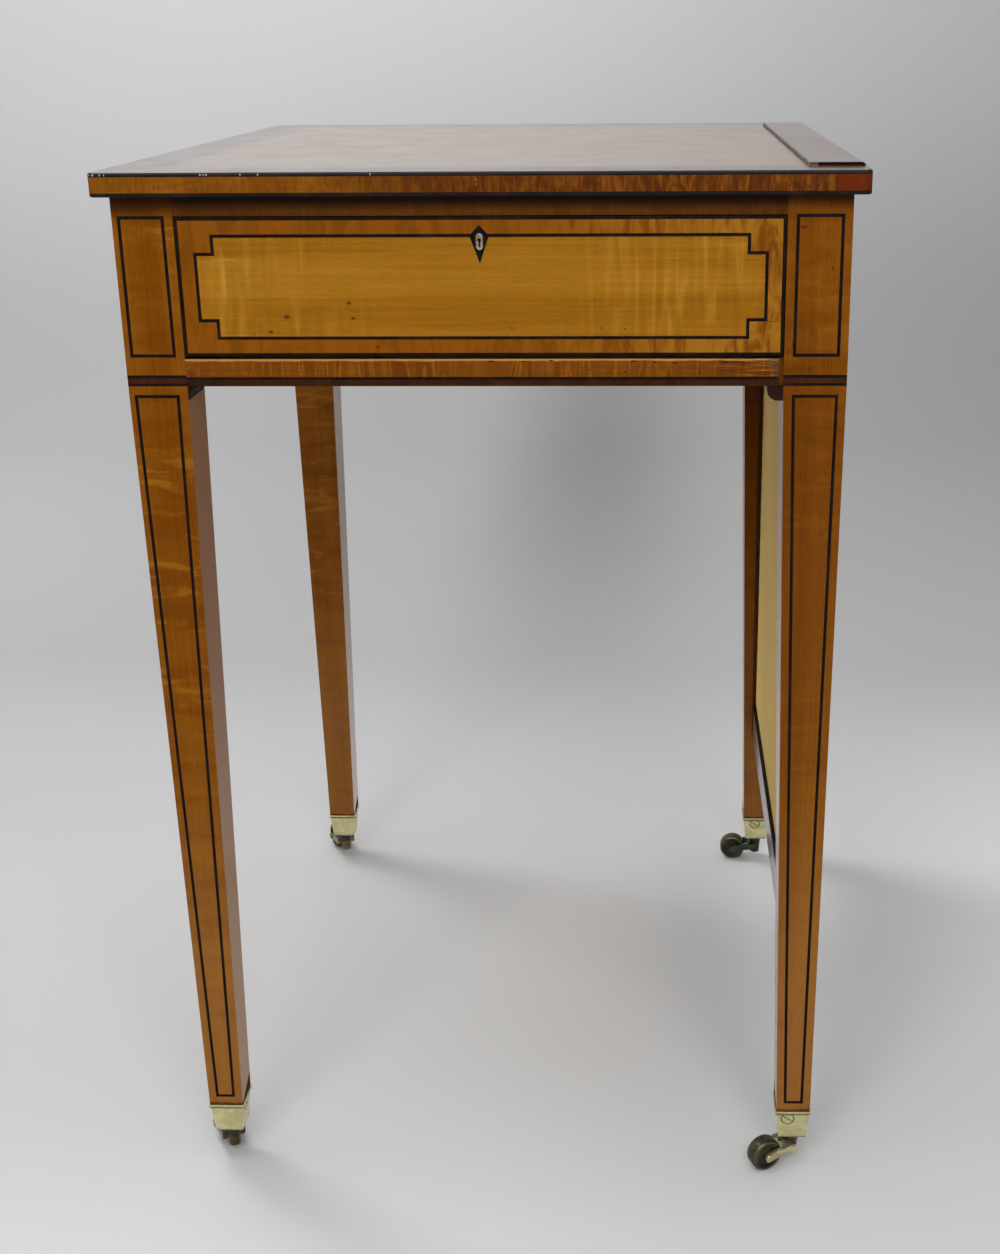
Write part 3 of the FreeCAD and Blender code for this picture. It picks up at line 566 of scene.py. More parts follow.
@dataclass(frozen=True)
class LowRailVeneer(Wood):
    """The rail under the drawer: a painted highlight on its upper arris, worm holes, short cracks, a knot and
    a worn end.
    """

    top: float = 0.6306
    holes: tuple[Dot, ...] = (
        (-0.1962, 0.6262, 0.0006, 0.0030), (0.0043, 0.6292, 0.0028, 0.0006), (0.0251, 0.6290, 0.0016, 0.0006),
        (0.0433, 0.6296, 0.0022, 0.0006), (0.0971, 0.6292, 0.0030, 0.0006), (0.1107, 0.6284, 0.0014, 0.0008),
        (0.0555, 0.6234, 0.0006, 0.0006), (0.0685, 0.6236, 0.0007, 0.0006), (0.0815, 0.6221, 0.0006, 0.0006),
        (0.0912, 0.6221, 0.0009, 0.0007), (0.1236, 0.6279, 0.0020, 0.0007), (0.1269, 0.6214, 0.0006, 0.0006),
        (0.1399, 0.6216, 0.0008, 0.0006), (0.1559, 0.6283, 0.0028, 0.0007))

    def marks(self, tree: Tree) -> None:
        """Adds the painted highlight on the upper arris and the signs of wear along the rail."""
        front = tree.math("LESS_THAN", tree.y, FRONT + 0.0006)
        # Painted highlight: a pale line along the rail's upper arris, where light falls.
        wander = tree.swing(tree.z, tree.noise((70.0, 1.0, 1.0), 3.0), 0.0016)
        upper = tree.band(wander, self.top - 0.0016, self.top - 0.0007)
        tree.stain(tree.times(upper, front), 0.75, (196, 146, 82))
        knot = tree.spot((-0.1928, FRONT, 0.6210), (0.0034, 0.01, 0.0030), 0.5)
        tree.stain(knot, 0.85, (104, 46, 18))
        tree.stain(tree.dots(self.holes, FRONT, 0.01, 0.5), 0.9, (34, 16, 6))
        splits = tree.noise((46.0, 1.0, 1500.0), 2.0, 0.6, self.start(7.0))
        split = tree.times(tree.band(splits, 0.56, 0.62), tree.band(tree.x, 0.118, 0.176, 0.0, 0.85))
        tree.stain(split, front, (50, 24, 9))
        bare = tree.times(tree.below(splits, 0.34, 0.42), tree.band(tree.x, 0.128, 0.180, 0.0, 0.6))
        tree.stain(bare, front, (176, 122, 58))
        worn = tree.band(tree.swing(tree.x, tree.noise((60.0, 1.0, 120.0), 3.0), 0.02), 0.1840, 0.1885)
        tree.stain(tree.times(worn, front), 0.55, (66, 52, 40))


@dataclass(frozen=True)
class DrawerVeneer(Wood):
    """The drawer's front: a golden notched panel in darker margins, with small knots and a pale streak."""

    middle_x: float = -0.0010
    middle_z: float = 0.6771
    half_width: float = 0.1944
    half_height: float = 0.0445
    margin: float = 0.0119
    notch: float = 0.0114
    edge: Colour = (126, 70, 4)
    flame: Colour = (158, 104, 24)
    scratches: tuple[Dot, ...] = ((-0.1663, 0.6830, 0.0022, 0.0260), (-0.1640, 0.6950, 0.0130, 0.0011))
    knots: tuple[Dot, ...] = ((-0.1272, 0.6582, 0.0024, 0.0017), (-0.1381, 0.6485, 0.0018, 0.0012),
                              (-0.0864, 0.6671, 0.0017, 0.0013), (-0.0842, 0.6572, 0.0015, 0.0011),
                              (-0.0690, 0.6386, 0.0015, 0.0010))
    holes: tuple[Dot, ...] = ((0.0184, 0.6508, 0.0011, 0.0007), (0.0765, 0.6507, 0.0011, 0.0007),
                              (0.0913, 0.6501, 0.0011, 0.0007))
    crack_x: float = 0.1820
    crack_z: float = 0.6546

    def panel(self, tree: Tree) -> Value:
        """Marks the panel inside its notched line."""
        wide = self.half_width - self.margin
        high = self.half_height - self.margin
        aside = tree.apart(tree.x, self.middle_x)
        above = tree.apart(tree.z, self.middle_z)
        inside = tree.times(tree.math("LESS_THAN", aside, wide), tree.math("LESS_THAN", above, high))
        corner = tree.times(tree.math("GREATER_THAN", aside, wide - self.notch),
                            tree.math("GREATER_THAN", above, high - self.notch))
        return tree.less(inside, corner)

    def tone(self, tree: Tree) -> Value:
        """Lying grain with upright bars, strongest to the right and low at the left."""
        fine = tree.noise((9.0, 9.0, 620.0), 3.0, 0.3, self.start(), 0.6)
        broad = tree.noise((2.2, 2.0, 46.0), 3.0, 0.9, self.start(5.0))
        bars = tree.noise((170.0, 4.0, 16.0), 1.0, 0.5, self.start(9.0))
        right = tree.band(tree.x, 0.02, 0.13)
        low_left = tree.times(tree.below(tree.x, -0.15, -0.04), tree.below(tree.z, 0.650, 0.685))
        patches = tree.band(tree.noise((9.0, 9.0, 9.0), 1.0, 0.3, self.start(2.0)), 0.36, 0.60)
        where = tree.most(tree.most(right, low_left), tree.times(patches, 0.65))
        tone = tree.plus(tree.swing(0.44, fine, self.lines), right, -0.03)
        tone = tree.swing(tone, broad, self.broad)
        tone = tree.plus(tone, tree.times(tree.below(bars, 0.34, 0.46), where), -self.crest)
        return tree.swing(tone, bars, tree.times(where, self.ripple))

    def marks(self, tree: Tree) -> None:
        """Adds the darker margins, the pale scratches, the knots and a hair crack."""
        front = tree.math("LESS_THAN", tree.y, FRONT + 0.0015)
        bars = tree.noise((120.0, 4.0, 34.0), 2.5, 0.8, self.start(3.0), 0.6)
        bright = tree.mix(tree.band(tree.x, 0.0, 0.17), linear(self.edge, 1.15), linear(self.flame))
        margin = tree.mix(tree.band(bars, 0.40, 0.66), bright, linear(self.edge, 0.86))
        tree.lay(tree.less(1.0, self.panel(tree)), margin)
        halos = [(x, z, 2.4 * wide, 1.9 * high) for x, z, wide, high in self.knots]
        wander = tree.swing(tree.z, tree.noise((60.0, 1.0, 1.0)), 0.0010)
        crack = tree.times(tree.between(wander, self.crack_z, self.crack_z + 0.0003, 0.0001),
                           tree.math("GREATER_THAN", tree.x, self.crack_x))
        for mask, share, stain in (
                (tree.dots(self.scratches, FRONT, 0.02, 0.8), 0.30, (214, 160, 80)),
                (tree.dots(halos, FRONT, 0.02, 0.9), 0.35, (120, 66, 16)),
                (tree.dots(self.knots + self.holes, FRONT, 0.02, 0.5), 0.8, (72, 34, 8)),
                (crack, 0.8, (40, 18, 5))):
            tree.stain(tree.times(mask, front), share, stain)


@dataclass(frozen=True)
class Stringing(Finish):
    """Ebony lines: near black, with a few pale chips where given."""

    chips: tuple[Dot, ...] = ()
    rough: float = 0.42
    gloss: float = 0.08

    def paint(self, tree: Tree) -> None:
        """Paints the ebony, its dull and polished places and its chips."""
        tone = tree.noise((60.0, 60.0, 60.0), 3.0, 0.4)
        tree.colour = tree.ramp(tone, ((0.3, (9, 6, 4)), (0.5, (17, 10, 6)), (0.75, (36, 20, 10))))
        if self.chips:
            tree.stain(tree.dots(self.chips, TOP_EDGE, 0.004, 0.6), 0.75, (190, 184, 168))
        relief = tree.bump(tree.noise((900.0, 900.0, 900.0), 2.0), 0.00004)
        tree.shade(Roughness=tree.swing(self.rough, tone, 0.3), Normal=relief, Specular_IOR_Level=self.gloss)


@dataclass(frozen=True)
class Metal(Finish):
    """Aged metal: clean places, tarnish, dark spots and fine wear."""

    clean: Colour
    tarnish: Colour
    # The colour of dark spots and deposits, and of painted shade where a finish marks it.
    dirt_and_shade_colour: Colour
    clouds: float = 90.0
    cover: float = 0.5
    spots: float = 0.6
    rough: float = 0.34
    bare: float = 1.0
    relief: float = 0.00005

    def dirt_and_shade(self, tree: Tree) -> Value:
        """Marks dark deposits and painted shade; plain metal has none."""
        return 0.0

    def wear_and_highlight(self, tree: Tree) -> Value:
        """Marks worn bright places and painted highlights; plain metal has none."""
        return 0.0

    def paint(self, tree: Tree) -> None:
        """Paints the metal: its film of tarnish, its dark deposits and painted shade, and its wear and
        painted highlights.
        """
        clouds = tree.noise((self.clouds,) * 3, 4.0, 0.6)
        specks = tree.noise((520.0,) * 3, 3.0, 0.4, (3.0, 1.0, 7.0))
        film = tree.band(clouds, self.cover - 0.14, self.cover + 0.14)
        # No tarnish film on worn bright places and painted highlights.
        film = tree.times(film, tree.less(1.0, self.wear_and_highlight(tree)))
        dark = tree.most(tree.times(tree.band(specks, 0.60, 0.72), self.spots), self.dirt_and_shade(tree))
        tree.colour = linear(self.clean)
        tree.lay(film, linear(self.tarnish))
        tree.lay(dark, linear(self.dirt_and_shade_colour))
        rough = tree.swing(tree.swing(self.rough, clouds, 0.25), specks, 0.25)
        metal = tree.plus(self.bare, tree.most(dark, tree.times(film, 0.35)), -0.8 * self.bare)
        relief = tree.bump(tree.swing(tree.times(dark, -1.0), specks, 0.5), self.relief)
        tree.shade(Metallic=metal, Roughness=rough, Normal=relief)


@dataclass(frozen=True)
class ScrewHead:
    """A slotted screw head in a castor's cup, with painted shade round its rim and in its slot."""

    place: Triple
    radius: float = 0.0046
    slot: float = 0.0006
    turn: float = -36.0

    def mark(self, tree: Tree) -> Value:
        """Marks the head's rim and slot, where shade is painted."""
        x, y, z = self.place
        turn = math.radians(self.turn)
        inside = tree.spot(self.place, (1.2 * self.radius,) * 3, 0.05)
        # Painted shade: a dark ring round the head's rim.
        rim = tree.less(1.0, tree.spot(self.place, (0.98 * self.radius,) * 3, 0.10))
        across = tree.less(tree.x, x) if x > 0.0 else tree.less(tree.y, y)
        above = tree.less(tree.z, z)
        off = tree.less(tree.times(above, math.cos(turn)), tree.times(across, math.sin(turn)))
        # Painted shade in the slot.
        line = tree.below(tree.math("ABSOLUTE", off), 0.6 * self.slot, self.slot)
        return tree.times(tree.most(line, rim), inside)


@dataclass(frozen=True)
class CupBrass(Metal):
    """A castor's cup: a painted shadow under its lip, painted shade round its screw, and darker at its lower
    edge.
    """

    lip_foot: float = 0.0491
    foot: float = 0.0265
    head: ScrewHead = ScrewHead((0.0, 0.0, SCREW_Z))

    def dirt_and_shade(self, tree: Tree) -> Value:
        """Marks the painted shadow under the lip, the painted shade round the screw and the darker lower
        edge.
        """
        wander = tree.swing(tree.z, tree.noise((260.0, 260.0, 60.0), 3.0), 0.0014)
        # Painted shadow: a dark line under the cup's lip.
        lip = tree.times(tree.between(wander, self.lip_foot - 0.0016, self.lip_foot + 0.0009, 0.0003), 0.85)
        # Darker towards the cup's lower edge.
        low = tree.band(wander, self.foot + 0.0002, self.foot + 0.0016, 0.7, 0.0)
        return tree.most(tree.most(lip, low), tree.times(self.head.mark(tree), 0.9))


@dataclass(frozen=True)
class HornBrass(Metal):
    """A castor's horn: black green at its boss, with a painted highlight on its upward faces along the top of
    its arms.
    """

    boss_foot: float = 0.0165

    def dirt_and_shade(self, tree: Tree) -> Value:
        """Marks the boss and the crown."""
        wander = tree.swing(tree.z, tree.noise((200.0,) * 3, 3.0), 0.004)
        return tree.times(tree.band(wander, self.boss_foot - 0.001, self.boss_foot + 0.003), 0.9)

    def wear_and_highlight(self, tree: Tree) -> Value:
        """Marks what looks upward, for the painted highlight."""
        return tree.band(tree.split(tree.normal)[2], 0.05, 0.5)


@dataclass(frozen=True)
class WheelBrass(Metal):
    """A castor's wheel: dark in its dishes, rubbed brighter on its rims."""

    axle: tuple[Triple, Triple] = ((0.0, 0.0, 0.0), (1.0, 0.0, 0.0))
    rim: float = 0.0108

    def radius(self, tree: Tree) -> Value:
        """How far a place lies from the axle's line."""
        centre, way = self.axle
        x, y, z = (tree.less(value, middle) for value, middle in zip((tree.x, tree.y, tree.z), centre))
        lengthwise = tree.math("ADD", tree.times(x, way[0]), tree.times(y, way[1]))
        square = tree.math("ADD", tree.math("ADD", tree.times(x, x), tree.times(y, y)), tree.times(z, z))
        square = tree.plus(square, lengthwise, tree.times(lengthwise, -1.0))
        return tree.math("SQRT", tree.most(0.0, square))

    def dirt_and_shade(self, tree: Tree) -> Value:
        """Marks the dishes in the wheel's sides."""
        return tree.band(self.radius(tree), 0.0078, 0.0092, 0.75, 0.0)

    def wear_and_highlight(self, tree: Tree) -> Value:
        """Marks the rims."""
        return tree.between(self.radius(tree), self.rim, self.rim + 0.0012, 0.0004)


@dataclass(frozen=True)
class ScrewBrass(Metal):
    """The castors' screws: bright heads with painted shade in their slots and round their rims."""

    heads: tuple[ScrewHead, ...] = ()

    def dirt_and_shade(self, tree: Tree) -> Value:
        """Marks each head's rim and slot."""
        total: Value = 0.0
        for head in self.heads:
            total = tree.most(total, head.mark(tree))
        return total


@dataclass(frozen=True)
class Silk(Finish):
    """Plain silk stretched in a frame: fine warp and weft with thicker threads here and there."""

    thread: float = 0.00042
    pale: Colour = (236, 198, 100)
    deep: Colour = (206, 168, 74)

    def paint(self, tree: Tree) -> None:
        """Paints the silk: its weave, its thicker threads and its clouds of colour."""
        turn = 2.0 * math.pi / self.thread
        warp = tree.math("SINE", tree.times(tree.y, turn))
        weft = tree.math("SINE", tree.times(tree.z, turn))
        weave = tree.band(tree.times(warp, weft), -1.0, 1.0)
        slubs = tree.noise((1.0, 22.0, 900.0), 2.0, 0.2)
        upright = tree.noise((1.0, 700.0, 14.0), 2.0, 0.2, (0.0, 4.0, 2.0))
        clouds = tree.noise((6.0, 6.0, 6.0), 3.0, 0.3)
        tone: Value = 0.5
        for pattern, share in ((slubs, 0.7), (upright, 0.4), (clouds, 0.7), (weave, 0.3)):
            tone = tree.swing(tone, pattern, share)
        height = tree.swing(tree.swing(weave, slubs, 0.8), upright, 0.5)
        tree.colour = tree.mix(tone, linear(self.pale), linear(self.deep))
        tree.shade(Roughness=0.62, Normal=tree.bump(height, 0.00008), Sheen_Weight=0.08, Sheen_Roughness=0.4,
                   Specular_IOR_Level=0.3)


@dataclass(frozen=True)
class Backdrop(Finish):
    """The studio's seamless paper, with painted light and shade: darker at mid distance, a painted shadow of
    the table behind it, and paler up the wall.
    """

    near: Colour = (207, 207, 207)
    far: Colour = (168, 167, 167)
    wall: Colour = (225, 225, 227)
    left: float = 0.77
    right: float = 0.95
    left_gain: float = 0.13
    table_shadow_depth: float = -0.36

    def paint(self, tree: Tree) -> None:
        """Paints the paper: its grain, and its painted light and shade."""
        grain = tree.noise((60.0, 60.0, 60.0), 3.0)
        tree.colour = linear(self.near)
        # Painted shade: darker at mid distance.
        tree.lay(tree.band(tree.y, 0.15, 0.85), linear(self.far))
        # Painted light: paler up the wall.
        tree.lay(tree.band(tree.z, 0.05, 1.15), linear(self.wall))
        # Painted shade: darker to the left near the table.
        near = tree.times(tree.between(tree.y, -0.35, 0.50, 0.25), tree.below(tree.z, 0.0, 0.1))
        share = tree.plus(1.0, near, tree.less(tree.band(tree.x, -0.8, 0.3, self.left, 1.0), 1.0))
        # Painted shade: darker to the right beyond the table.
        beyond = tree.times(tree.band(tree.y, 0.8, 1.6), tree.band(tree.x, -0.3, 0.9))
        share = tree.plus(share, beyond, self.right - 1.0)
        # Painted light: paler to the left beyond the table, low on the wall.
        beside = tree.times(tree.band(tree.y, 0.7, 1.3), tree.below(tree.x, -1.25, -0.4))
        share = tree.plus(share, tree.times(beside, tree.below(tree.z, 0.25, 0.95)), self.left_gain)
        # Painted shadow of the table on the paper behind it.
        behind = tree.spot((-0.01, 1.9, 0.0), (0.32, 1.7, 0.9), 1.0)
        share = tree.plus(share, behind, self.table_shadow_depth)
        grey = tree.node("CombineXYZ", share, share, share).outputs[0]
        tree.colour = tree.mix(1.0, tree.colour, grey, "MULTIPLY")
        tree.stain(grain, 0.05, self.near)
        tree.shade(Roughness=0.9, Normal=tree.bump(grain, 0.0002, 0.2))


class Bench:
    """Where new pieces are modelled: the selecting and finishing steps that they share."""

    same_place = 0.000002
    flat_angle = math.radians(1.0)
    arris_angle = math.radians(32.0)
    smooth_angle = math.radians(28.0)

    @staticmethod
    def clear() -> None:
        """Leaves edit mode and deselects everything."""
        if bpy.context.mode != "OBJECT":
            bpy.ops.object.mode_set(mode="OBJECT")
        bpy.ops.object.select_all(action="DESELECT")

    @staticmethod
    def size(name: str, size: Triple) -> Piece:
        """Names and sizes the newly added primitive, and fixes its place in its mesh.

        Args:
            name: The piece's name.
            size: How many times its own size the primitive becomes along its own axes.

        Returns:
            The piece.
        """
        piece = bpy.context.object
        piece.name = name
        piece.data.name = name
        piece.scale = size
        bpy.ops.object.transform_apply(location=True, rotation=True, scale=True)
        return piece

    @staticmethod
    def copy(node: str, name: str) -> Piece:
        """Copies a CAD node with its own mesh, closes its loose triangles and merges its flat faces.

        Args:
            node: The CAD node.
            name: The new piece's name.

        Returns:
            The copy, in object mode and selected.
        """
        Bench.clear()
        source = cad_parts[node]
        piece = source.copy()
        piece.data = source.data.copy()
        for key in list(piece.keys()):
            del piece[key]
        piece.parent = None
        piece.name = name
        piece.data.name = name
        bpy.context.scene.collection.objects.link(piece)
        bpy.context.view_layer.objects.active = piece
        piece.select_set(True)
        bpy.ops.object.mode_set(mode="EDIT")
        bpy.ops.mesh.select_all(action="SELECT")
        bpy.ops.mesh.remove_doubles(threshold=Bench.same_place)
        bpy.ops.mesh.dissolve_limited(angle_limit=Bench.flat_angle)
        bpy.ops.object.mode_set(mode="OBJECT")
        return piece

    @staticmethod
    def pick_edges(piece: Piece, test: Callable[[Vector], bool]) -> None:
        """Selects the edges whose middles pass a test, and nothing else.

        Args:
            piece: The piece, in edit mode.
            test: Takes the middle of an edge, and says whether that edge is wanted.
        """
        bpy.ops.mesh.select_mode(type="EDGE")
        bpy.ops.mesh.select_all(action="DESELECT")
        mesh = bmesh.from_edit_mesh(piece.data)
        for edge in mesh.edges:
            if test((edge.verts[0].co + edge.verts[1].co) / 2):
                edge.select_set(True)
        mesh.select_flush_mode()
        bmesh.update_edit_mesh(piece.data)

    @staticmethod
    def soften(piece: Piece, width: float) -> None:
        """Rounds the arrises of a piece in object mode to that width, and smooths its shading."""
        bpy.context.view_layer.objects.active = piece
        bevel = piece.modifiers.new("Arris", "BEVEL")
        bevel.width = width
        bevel.segments = 2
        bevel.limit_method = "ANGLE"
        bevel.angle_limit = Bench.arris_angle
        bevel.harden_normals = False
        bpy.ops.object.modifier_apply(modifier=bevel.name)
        bpy.ops.object.shade_smooth_by_angle(angle=Bench.smooth_angle)


class Assembly:
    """A group of the table's pieces that dresses its CAD nodes and adds its fine pieces."""

    title = "assembly"

    def dress(self, finish: Finish, *names: str) -> None:
        """Gives a finish to CAD nodes.

        Args:
            finish: The finish.
            *names: The nodes that get it.
        """
        material = finish.material()
        for name in names:
            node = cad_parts[name]
            node.data.materials.clear()
            node.data.materials.append(material)
            LOG.info("%s: %s in %s", self.title, name, finish.name)

    def add(self, piece: Piece, body: str, slot: str, finish: Finish, *nodes: str) -> None:
        """Puts a new piece in its place on the table.

        Args:
            piece: The new piece.
            body: The CAD body that it rides on.
            slot: The record's material slot; not used.
            finish: Its finish.
            *nodes: The CAD nodes that it stands for.
        """
        piece.data.materials.clear()
        piece.data.materials.append(finish.material())
        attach(piece, body)
        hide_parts(*nodes)
        LOG.info("%s: %s on %s", self.title, piece.name, body)

    def build(self) -> None:
        """Dresses and adds this group's pieces."""
        raise NotImplementedError


@dataclass
class Top(Assembly):
    """The top: board, field, border, edge, lines and the two plain blocks beside the cap."""

    title = "top"
    line_z: float = 0.7487
    line_height: float = 0.0009
    chips: tuple[tuple[float, float], ...] = (
        (-0.2434, 0.0006), (-0.2407, 0.0009), (-0.2362, 0.0006), (-0.2334, 0.0004), (-0.1729, 0.0007),
        (-0.1709, 0.0005), (-0.1691, 0.0007), (-0.1478, 0.0005), (-0.1368, 0.0006), (-0.0665, 0.0005))

    def build(self) -> None:
        """Dresses the top's nodes; a chip is given by its X and its reach along the line."""
        chips = tuple((x, self.line_z, reach, self.line_height) for x, reach in self.chips)
        self.dress(Wood("Mahogany board", Axis.Y, *MAHOGANY, rough=0.5, coat=0.0), "top_board")
        self.dress(FieldVeneer("Satinwood field", Axis.Y, (134, 98, 40), (109, 77, 27), (84, 56, 17),
                               rough=0.14, coat=0.05, coat_rough=0.06, gloss=0.45, crest=0.0, ripple=0.05,
                               broad=0.15, lines=0.2, relief=0.000015, seed=2.0), "top_veneer")
        self.dress(Crossband("Satinwood border", Axis.Y, (94, 66, 34), (72, 51, 26), (50, 34, 15), rough=0.15,
                             coat=0.0, coat_rough=0.09, gloss=0.40, crest=0.04, relief=0.00002, seed=4.0),
                   "top_crossband")
        self.dress(EdgeBand("Satinwood edge", Axis.Z, (156, 98, 20), (128, 74, 8), (84, 42, 4), ripple=0.2,
                            seed=6.0), "top_edge_band")
        self.dress(Wood("Satinwood end blocks", Axis.X, (116, 48, 4), (98, 38, 2), (72, 26, 1), ripple=0.1,
                        seed=7.0), "top_corner_blocks")
        self.dress(Stringing("Ebony edge lines", chips, rough=0.38, gloss=0.16), "top_edge_lines")


@dataclass
class Leg(Assembly):
    """One leg, tapered from its square stile to the castor's cup."""

    place: str
    finish: LegVeneer

    @property
    def title(self) -> str:
        """This leg's name in the log."""
        return "leg " + self.place

    def build(self) -> None:
        """Dresses the leg."""
        self.dress(self.finish, "leg_" + self.place)


@dataclass
class Inlay(Assembly):
    """The legs' ebony stringing and the brown bands between their collar lines."""

    title = "inlay"

    def build(self) -> None:
        """Dresses the inlay."""
        self.dress(Stringing("Ebony stringing"), "leg_stringing")
        self.dress(Wood("Rosewood collars", Axis.Z, (88, 48, 24), (60, 30, 13), (30, 14, 6), rough=0.4,
                        seed=8.0), "leg_collars")


@dataclass
class Apron(Assembly):
    """The rails round the drawer, with their lines, beads, brackets and runners."""

    title = "apron"

    def build(self) -> None:
        """Dresses the apron."""
        self.dress(LowRailVeneer("Satinwood low rail", Axis.X, (150, 89, 17), (117, 63, 5), (80, 36, 2),
                                 ripple_pitch=120.0, crest=0.3, seed=11.0), "end_low_rail")
        # The top rail's colours are darker than the other satinwood, as painted shade under the top.
        self.dress(TopRailVeneer("Satinwood top rail", Axis.X, (100, 58, 10), (78, 41, 4), (56, 27, 2),
                                 coat=0.0, ripple=0.4, seed=12.0), "end_top_rail")
        self.dress(Wood("Satinwood end rail", Axis.X, *SATINWOOD, seed=13.0), "back_rail")
        self.dress(Wood("Satinwood side rails", Axis.Y, *SATINWOOD, seed=14.0),
                   "side_rail_left", "side_rail_outer")
        self.dress(Wood("Mahogany rail", Axis.Y, *MAHOGANY, rough=0.5, coat=0.0, seed=15.0),
                   "side_rail_inner")
        self.dress(Wood("Oak runners", Axis.Y, (160, 120, 72), (136, 98, 56), (98, 66, 34), rough=0.6,
                        coat=0.0, seed=16.0), "drawer_runners")
        self.dress(Stringing("Ebony apron lines"), "apron_lines")
        self.dress(Wood("Rosewood beads", Axis.X, (74, 38, 14), (52, 25, 8), (28, 13, 4), rough=0.4,
                        gloss=0.06, seed=17.0), "apron_beads")
        # The brackets' near-black colours are partly a dark wood and partly painted shade under the rail.
        self.dress(Wood("Rosewood left bracket in painted shade", Axis.X, (56, 32, 24), (36, 19, 14), (18, 9, 6), rough=0.5,
                        gloss=0.03, coat=0.0, seed=18.0), "bracket_left")
        self.dress(Wood("Rosewood right bracket in painted shade", Axis.X, (58, 32, 20), (34, 17, 10), (16, 8, 4), rough=0.36,
                        seed=19.0), "bracket_right")


@dataclass
class Drawer(Assembly):
    """The drawer: veneered front, oak sides, back and bottom, escutcheon and lock."""

    title = "drawer"

    def build(self) -> None:
        """Dresses the drawer."""
        self.dress(DrawerVeneer("Satinwood drawer front", Axis.X, (174, 122, 34), (150, 97, 14), (106, 60, 4),
                                ripple=0.48, lines=0.42, broad=0.75, seed=21.0), "drawer_front")
        self.dress(Wood("Oak drawer", Axis.Y, *OAK, rough=0.6, coat=0.0, seed=22.0),
                   "drawer_side_left", "drawer_side_right", "drawer_bottom")
        self.dress(Wood("Oak drawer back", Axis.X, *OAK, rough=0.6, coat=0.0, seed=23.0), "drawer_back")
        self.dress(Stringing("Ebony drawer lines"), "drawer_edge_line", "drawer_panel_line", "escutcheon")
        self.dress(Metal("Keyhole nickel", (186, 178, 156), (136, 122, 96), (60, 50, 34), clouds=300.0,
                         rough=0.3), "keyhole_liner")
        self.dress(Metal("Lock steel", (150, 150, 152), (110, 108, 104), (60, 42, 28), clouds=70.0,
                         rough=0.42), "lock_case")
        self.dress(Metal("Lock brass", (206, 170, 96), (160, 126, 66), (70, 50, 26), clouds=120.0),
                   "lock_bolt")


@dataclass
class FireScreen(Assembly):
    """The rising screen: cap, stiles, rails, bead, springs and the silk stretched in its grooves."""

    title = "fire screen"
    silk_x: float = 0.2145
    silk_half: float = 0.2199
    silk_foot: float = 0.1829
    silk_head: float = 0.7047
    silk_thickness: float = 0.0012
    silk_columns: int = 88
    silk_rows: int = 104
    ripple_depth: float = 0.0007
    side_waves: float = 310.0
    end_waves: float = 270.0
    end_start: float = 1.3
    side_fade: float = 6.0
    end_fade: float = 9.0
    sag: float = 0.8

    @staticmethod
    def pull(gap: float, fade: float) -> float:
        """How strongly the silk ripples at that gap from its edge, where it is held flat."""
        return math.exp(-fade * gap) * (1.0 - math.exp(-10.0 * fade * gap))

    def silk(self) -> Piece:
        """Makes the silk: a fine grid pulled into faint tension ripples at its edges, with a thickness."""
        Bench.clear()
        height = self.silk_head - self.silk_foot
        centre = (self.silk_x, 0.0, (self.silk_head + self.silk_foot) / 2)
        bpy.ops.mesh.primitive_grid_add(x_subdivisions=self.silk_rows, y_subdivisions=self.silk_columns,
                                        size=1.0, location=centre, rotation=(0.0, math.pi / 2, 0.0))
        piece = Bench.size("silk_panel", (height, 2 * self.silk_half, 1.0))
        for vertex in piece.data.vertices:
            across = max(0.0, 1.0 - abs(vertex.co.y) / self.silk_half)
            up = (vertex.co.z - self.silk_foot) / height
            near = max(0.0, min(up, 1.0 - up))
            side = math.sin(vertex.co.z * self.side_waves)
            end = math.sin(vertex.co.y * self.end_waves + self.end_start)
            wave = self.pull(across, self.side_fade) * side + self.pull(near, self.end_fade) * end
            hollow = math.sin(math.pi * up) * math.sin(math.pi * min(1.0, across))
            vertex.co.x += self.ripple_depth * (wave - self.sag * hollow)
        cloth = piece.modifiers.new("Thickness", "SOLIDIFY")
        cloth.thickness = self.silk_thickness
        cloth.offset = 0.0
        bpy.ops.object.modifier_apply(modifier=cloth.name)
        bpy.ops.object.shade_smooth_by_angle(angle=math.radians(35.0))
        return piece

    def build(self) -> None:
        """Dresses the screen's nodes and adds the silk."""
        self.dress(Crossband("Satinwood cap", Axis.X, (108, 72, 34), (84, 54, 24), (58, 35, 13), rough=0.17,
                             coat=0.15, coat_rough=0.11, gloss=0.5, seed=31.0), "screen_cap")
        self.dress(Stringing("Ebony cap lines", rough=0.24), "cap_lines")
        self.dress(Wood("Rosewood stiles", Axis.Z, (92, 56, 40), (62, 36, 26), (34, 19, 13), rough=0.32,
                        seed=32.0), "screen_stile_front", "screen_stile_back")
        self.dress(Wood("Rosewood screen rails", Axis.Y, (122, 86, 68), (92, 62, 48), (58, 37, 28), rough=0.2,
                        coat=0.5, coat_rough=0.1, seed=33.0), "screen_top_rail", "screen_bottom_rail")
        self.dress(Stringing("Ebony screen bead"), "screen_bead")
        self.dress(Metal("Spring steel", (150, 150, 154), (116, 116, 118), (70, 60, 50), clouds=80.0),
                   "screen_springs")
        silk = self.silk()
        self.add(silk, "screen", "silk", Silk("Silk"), "screen_fabric")


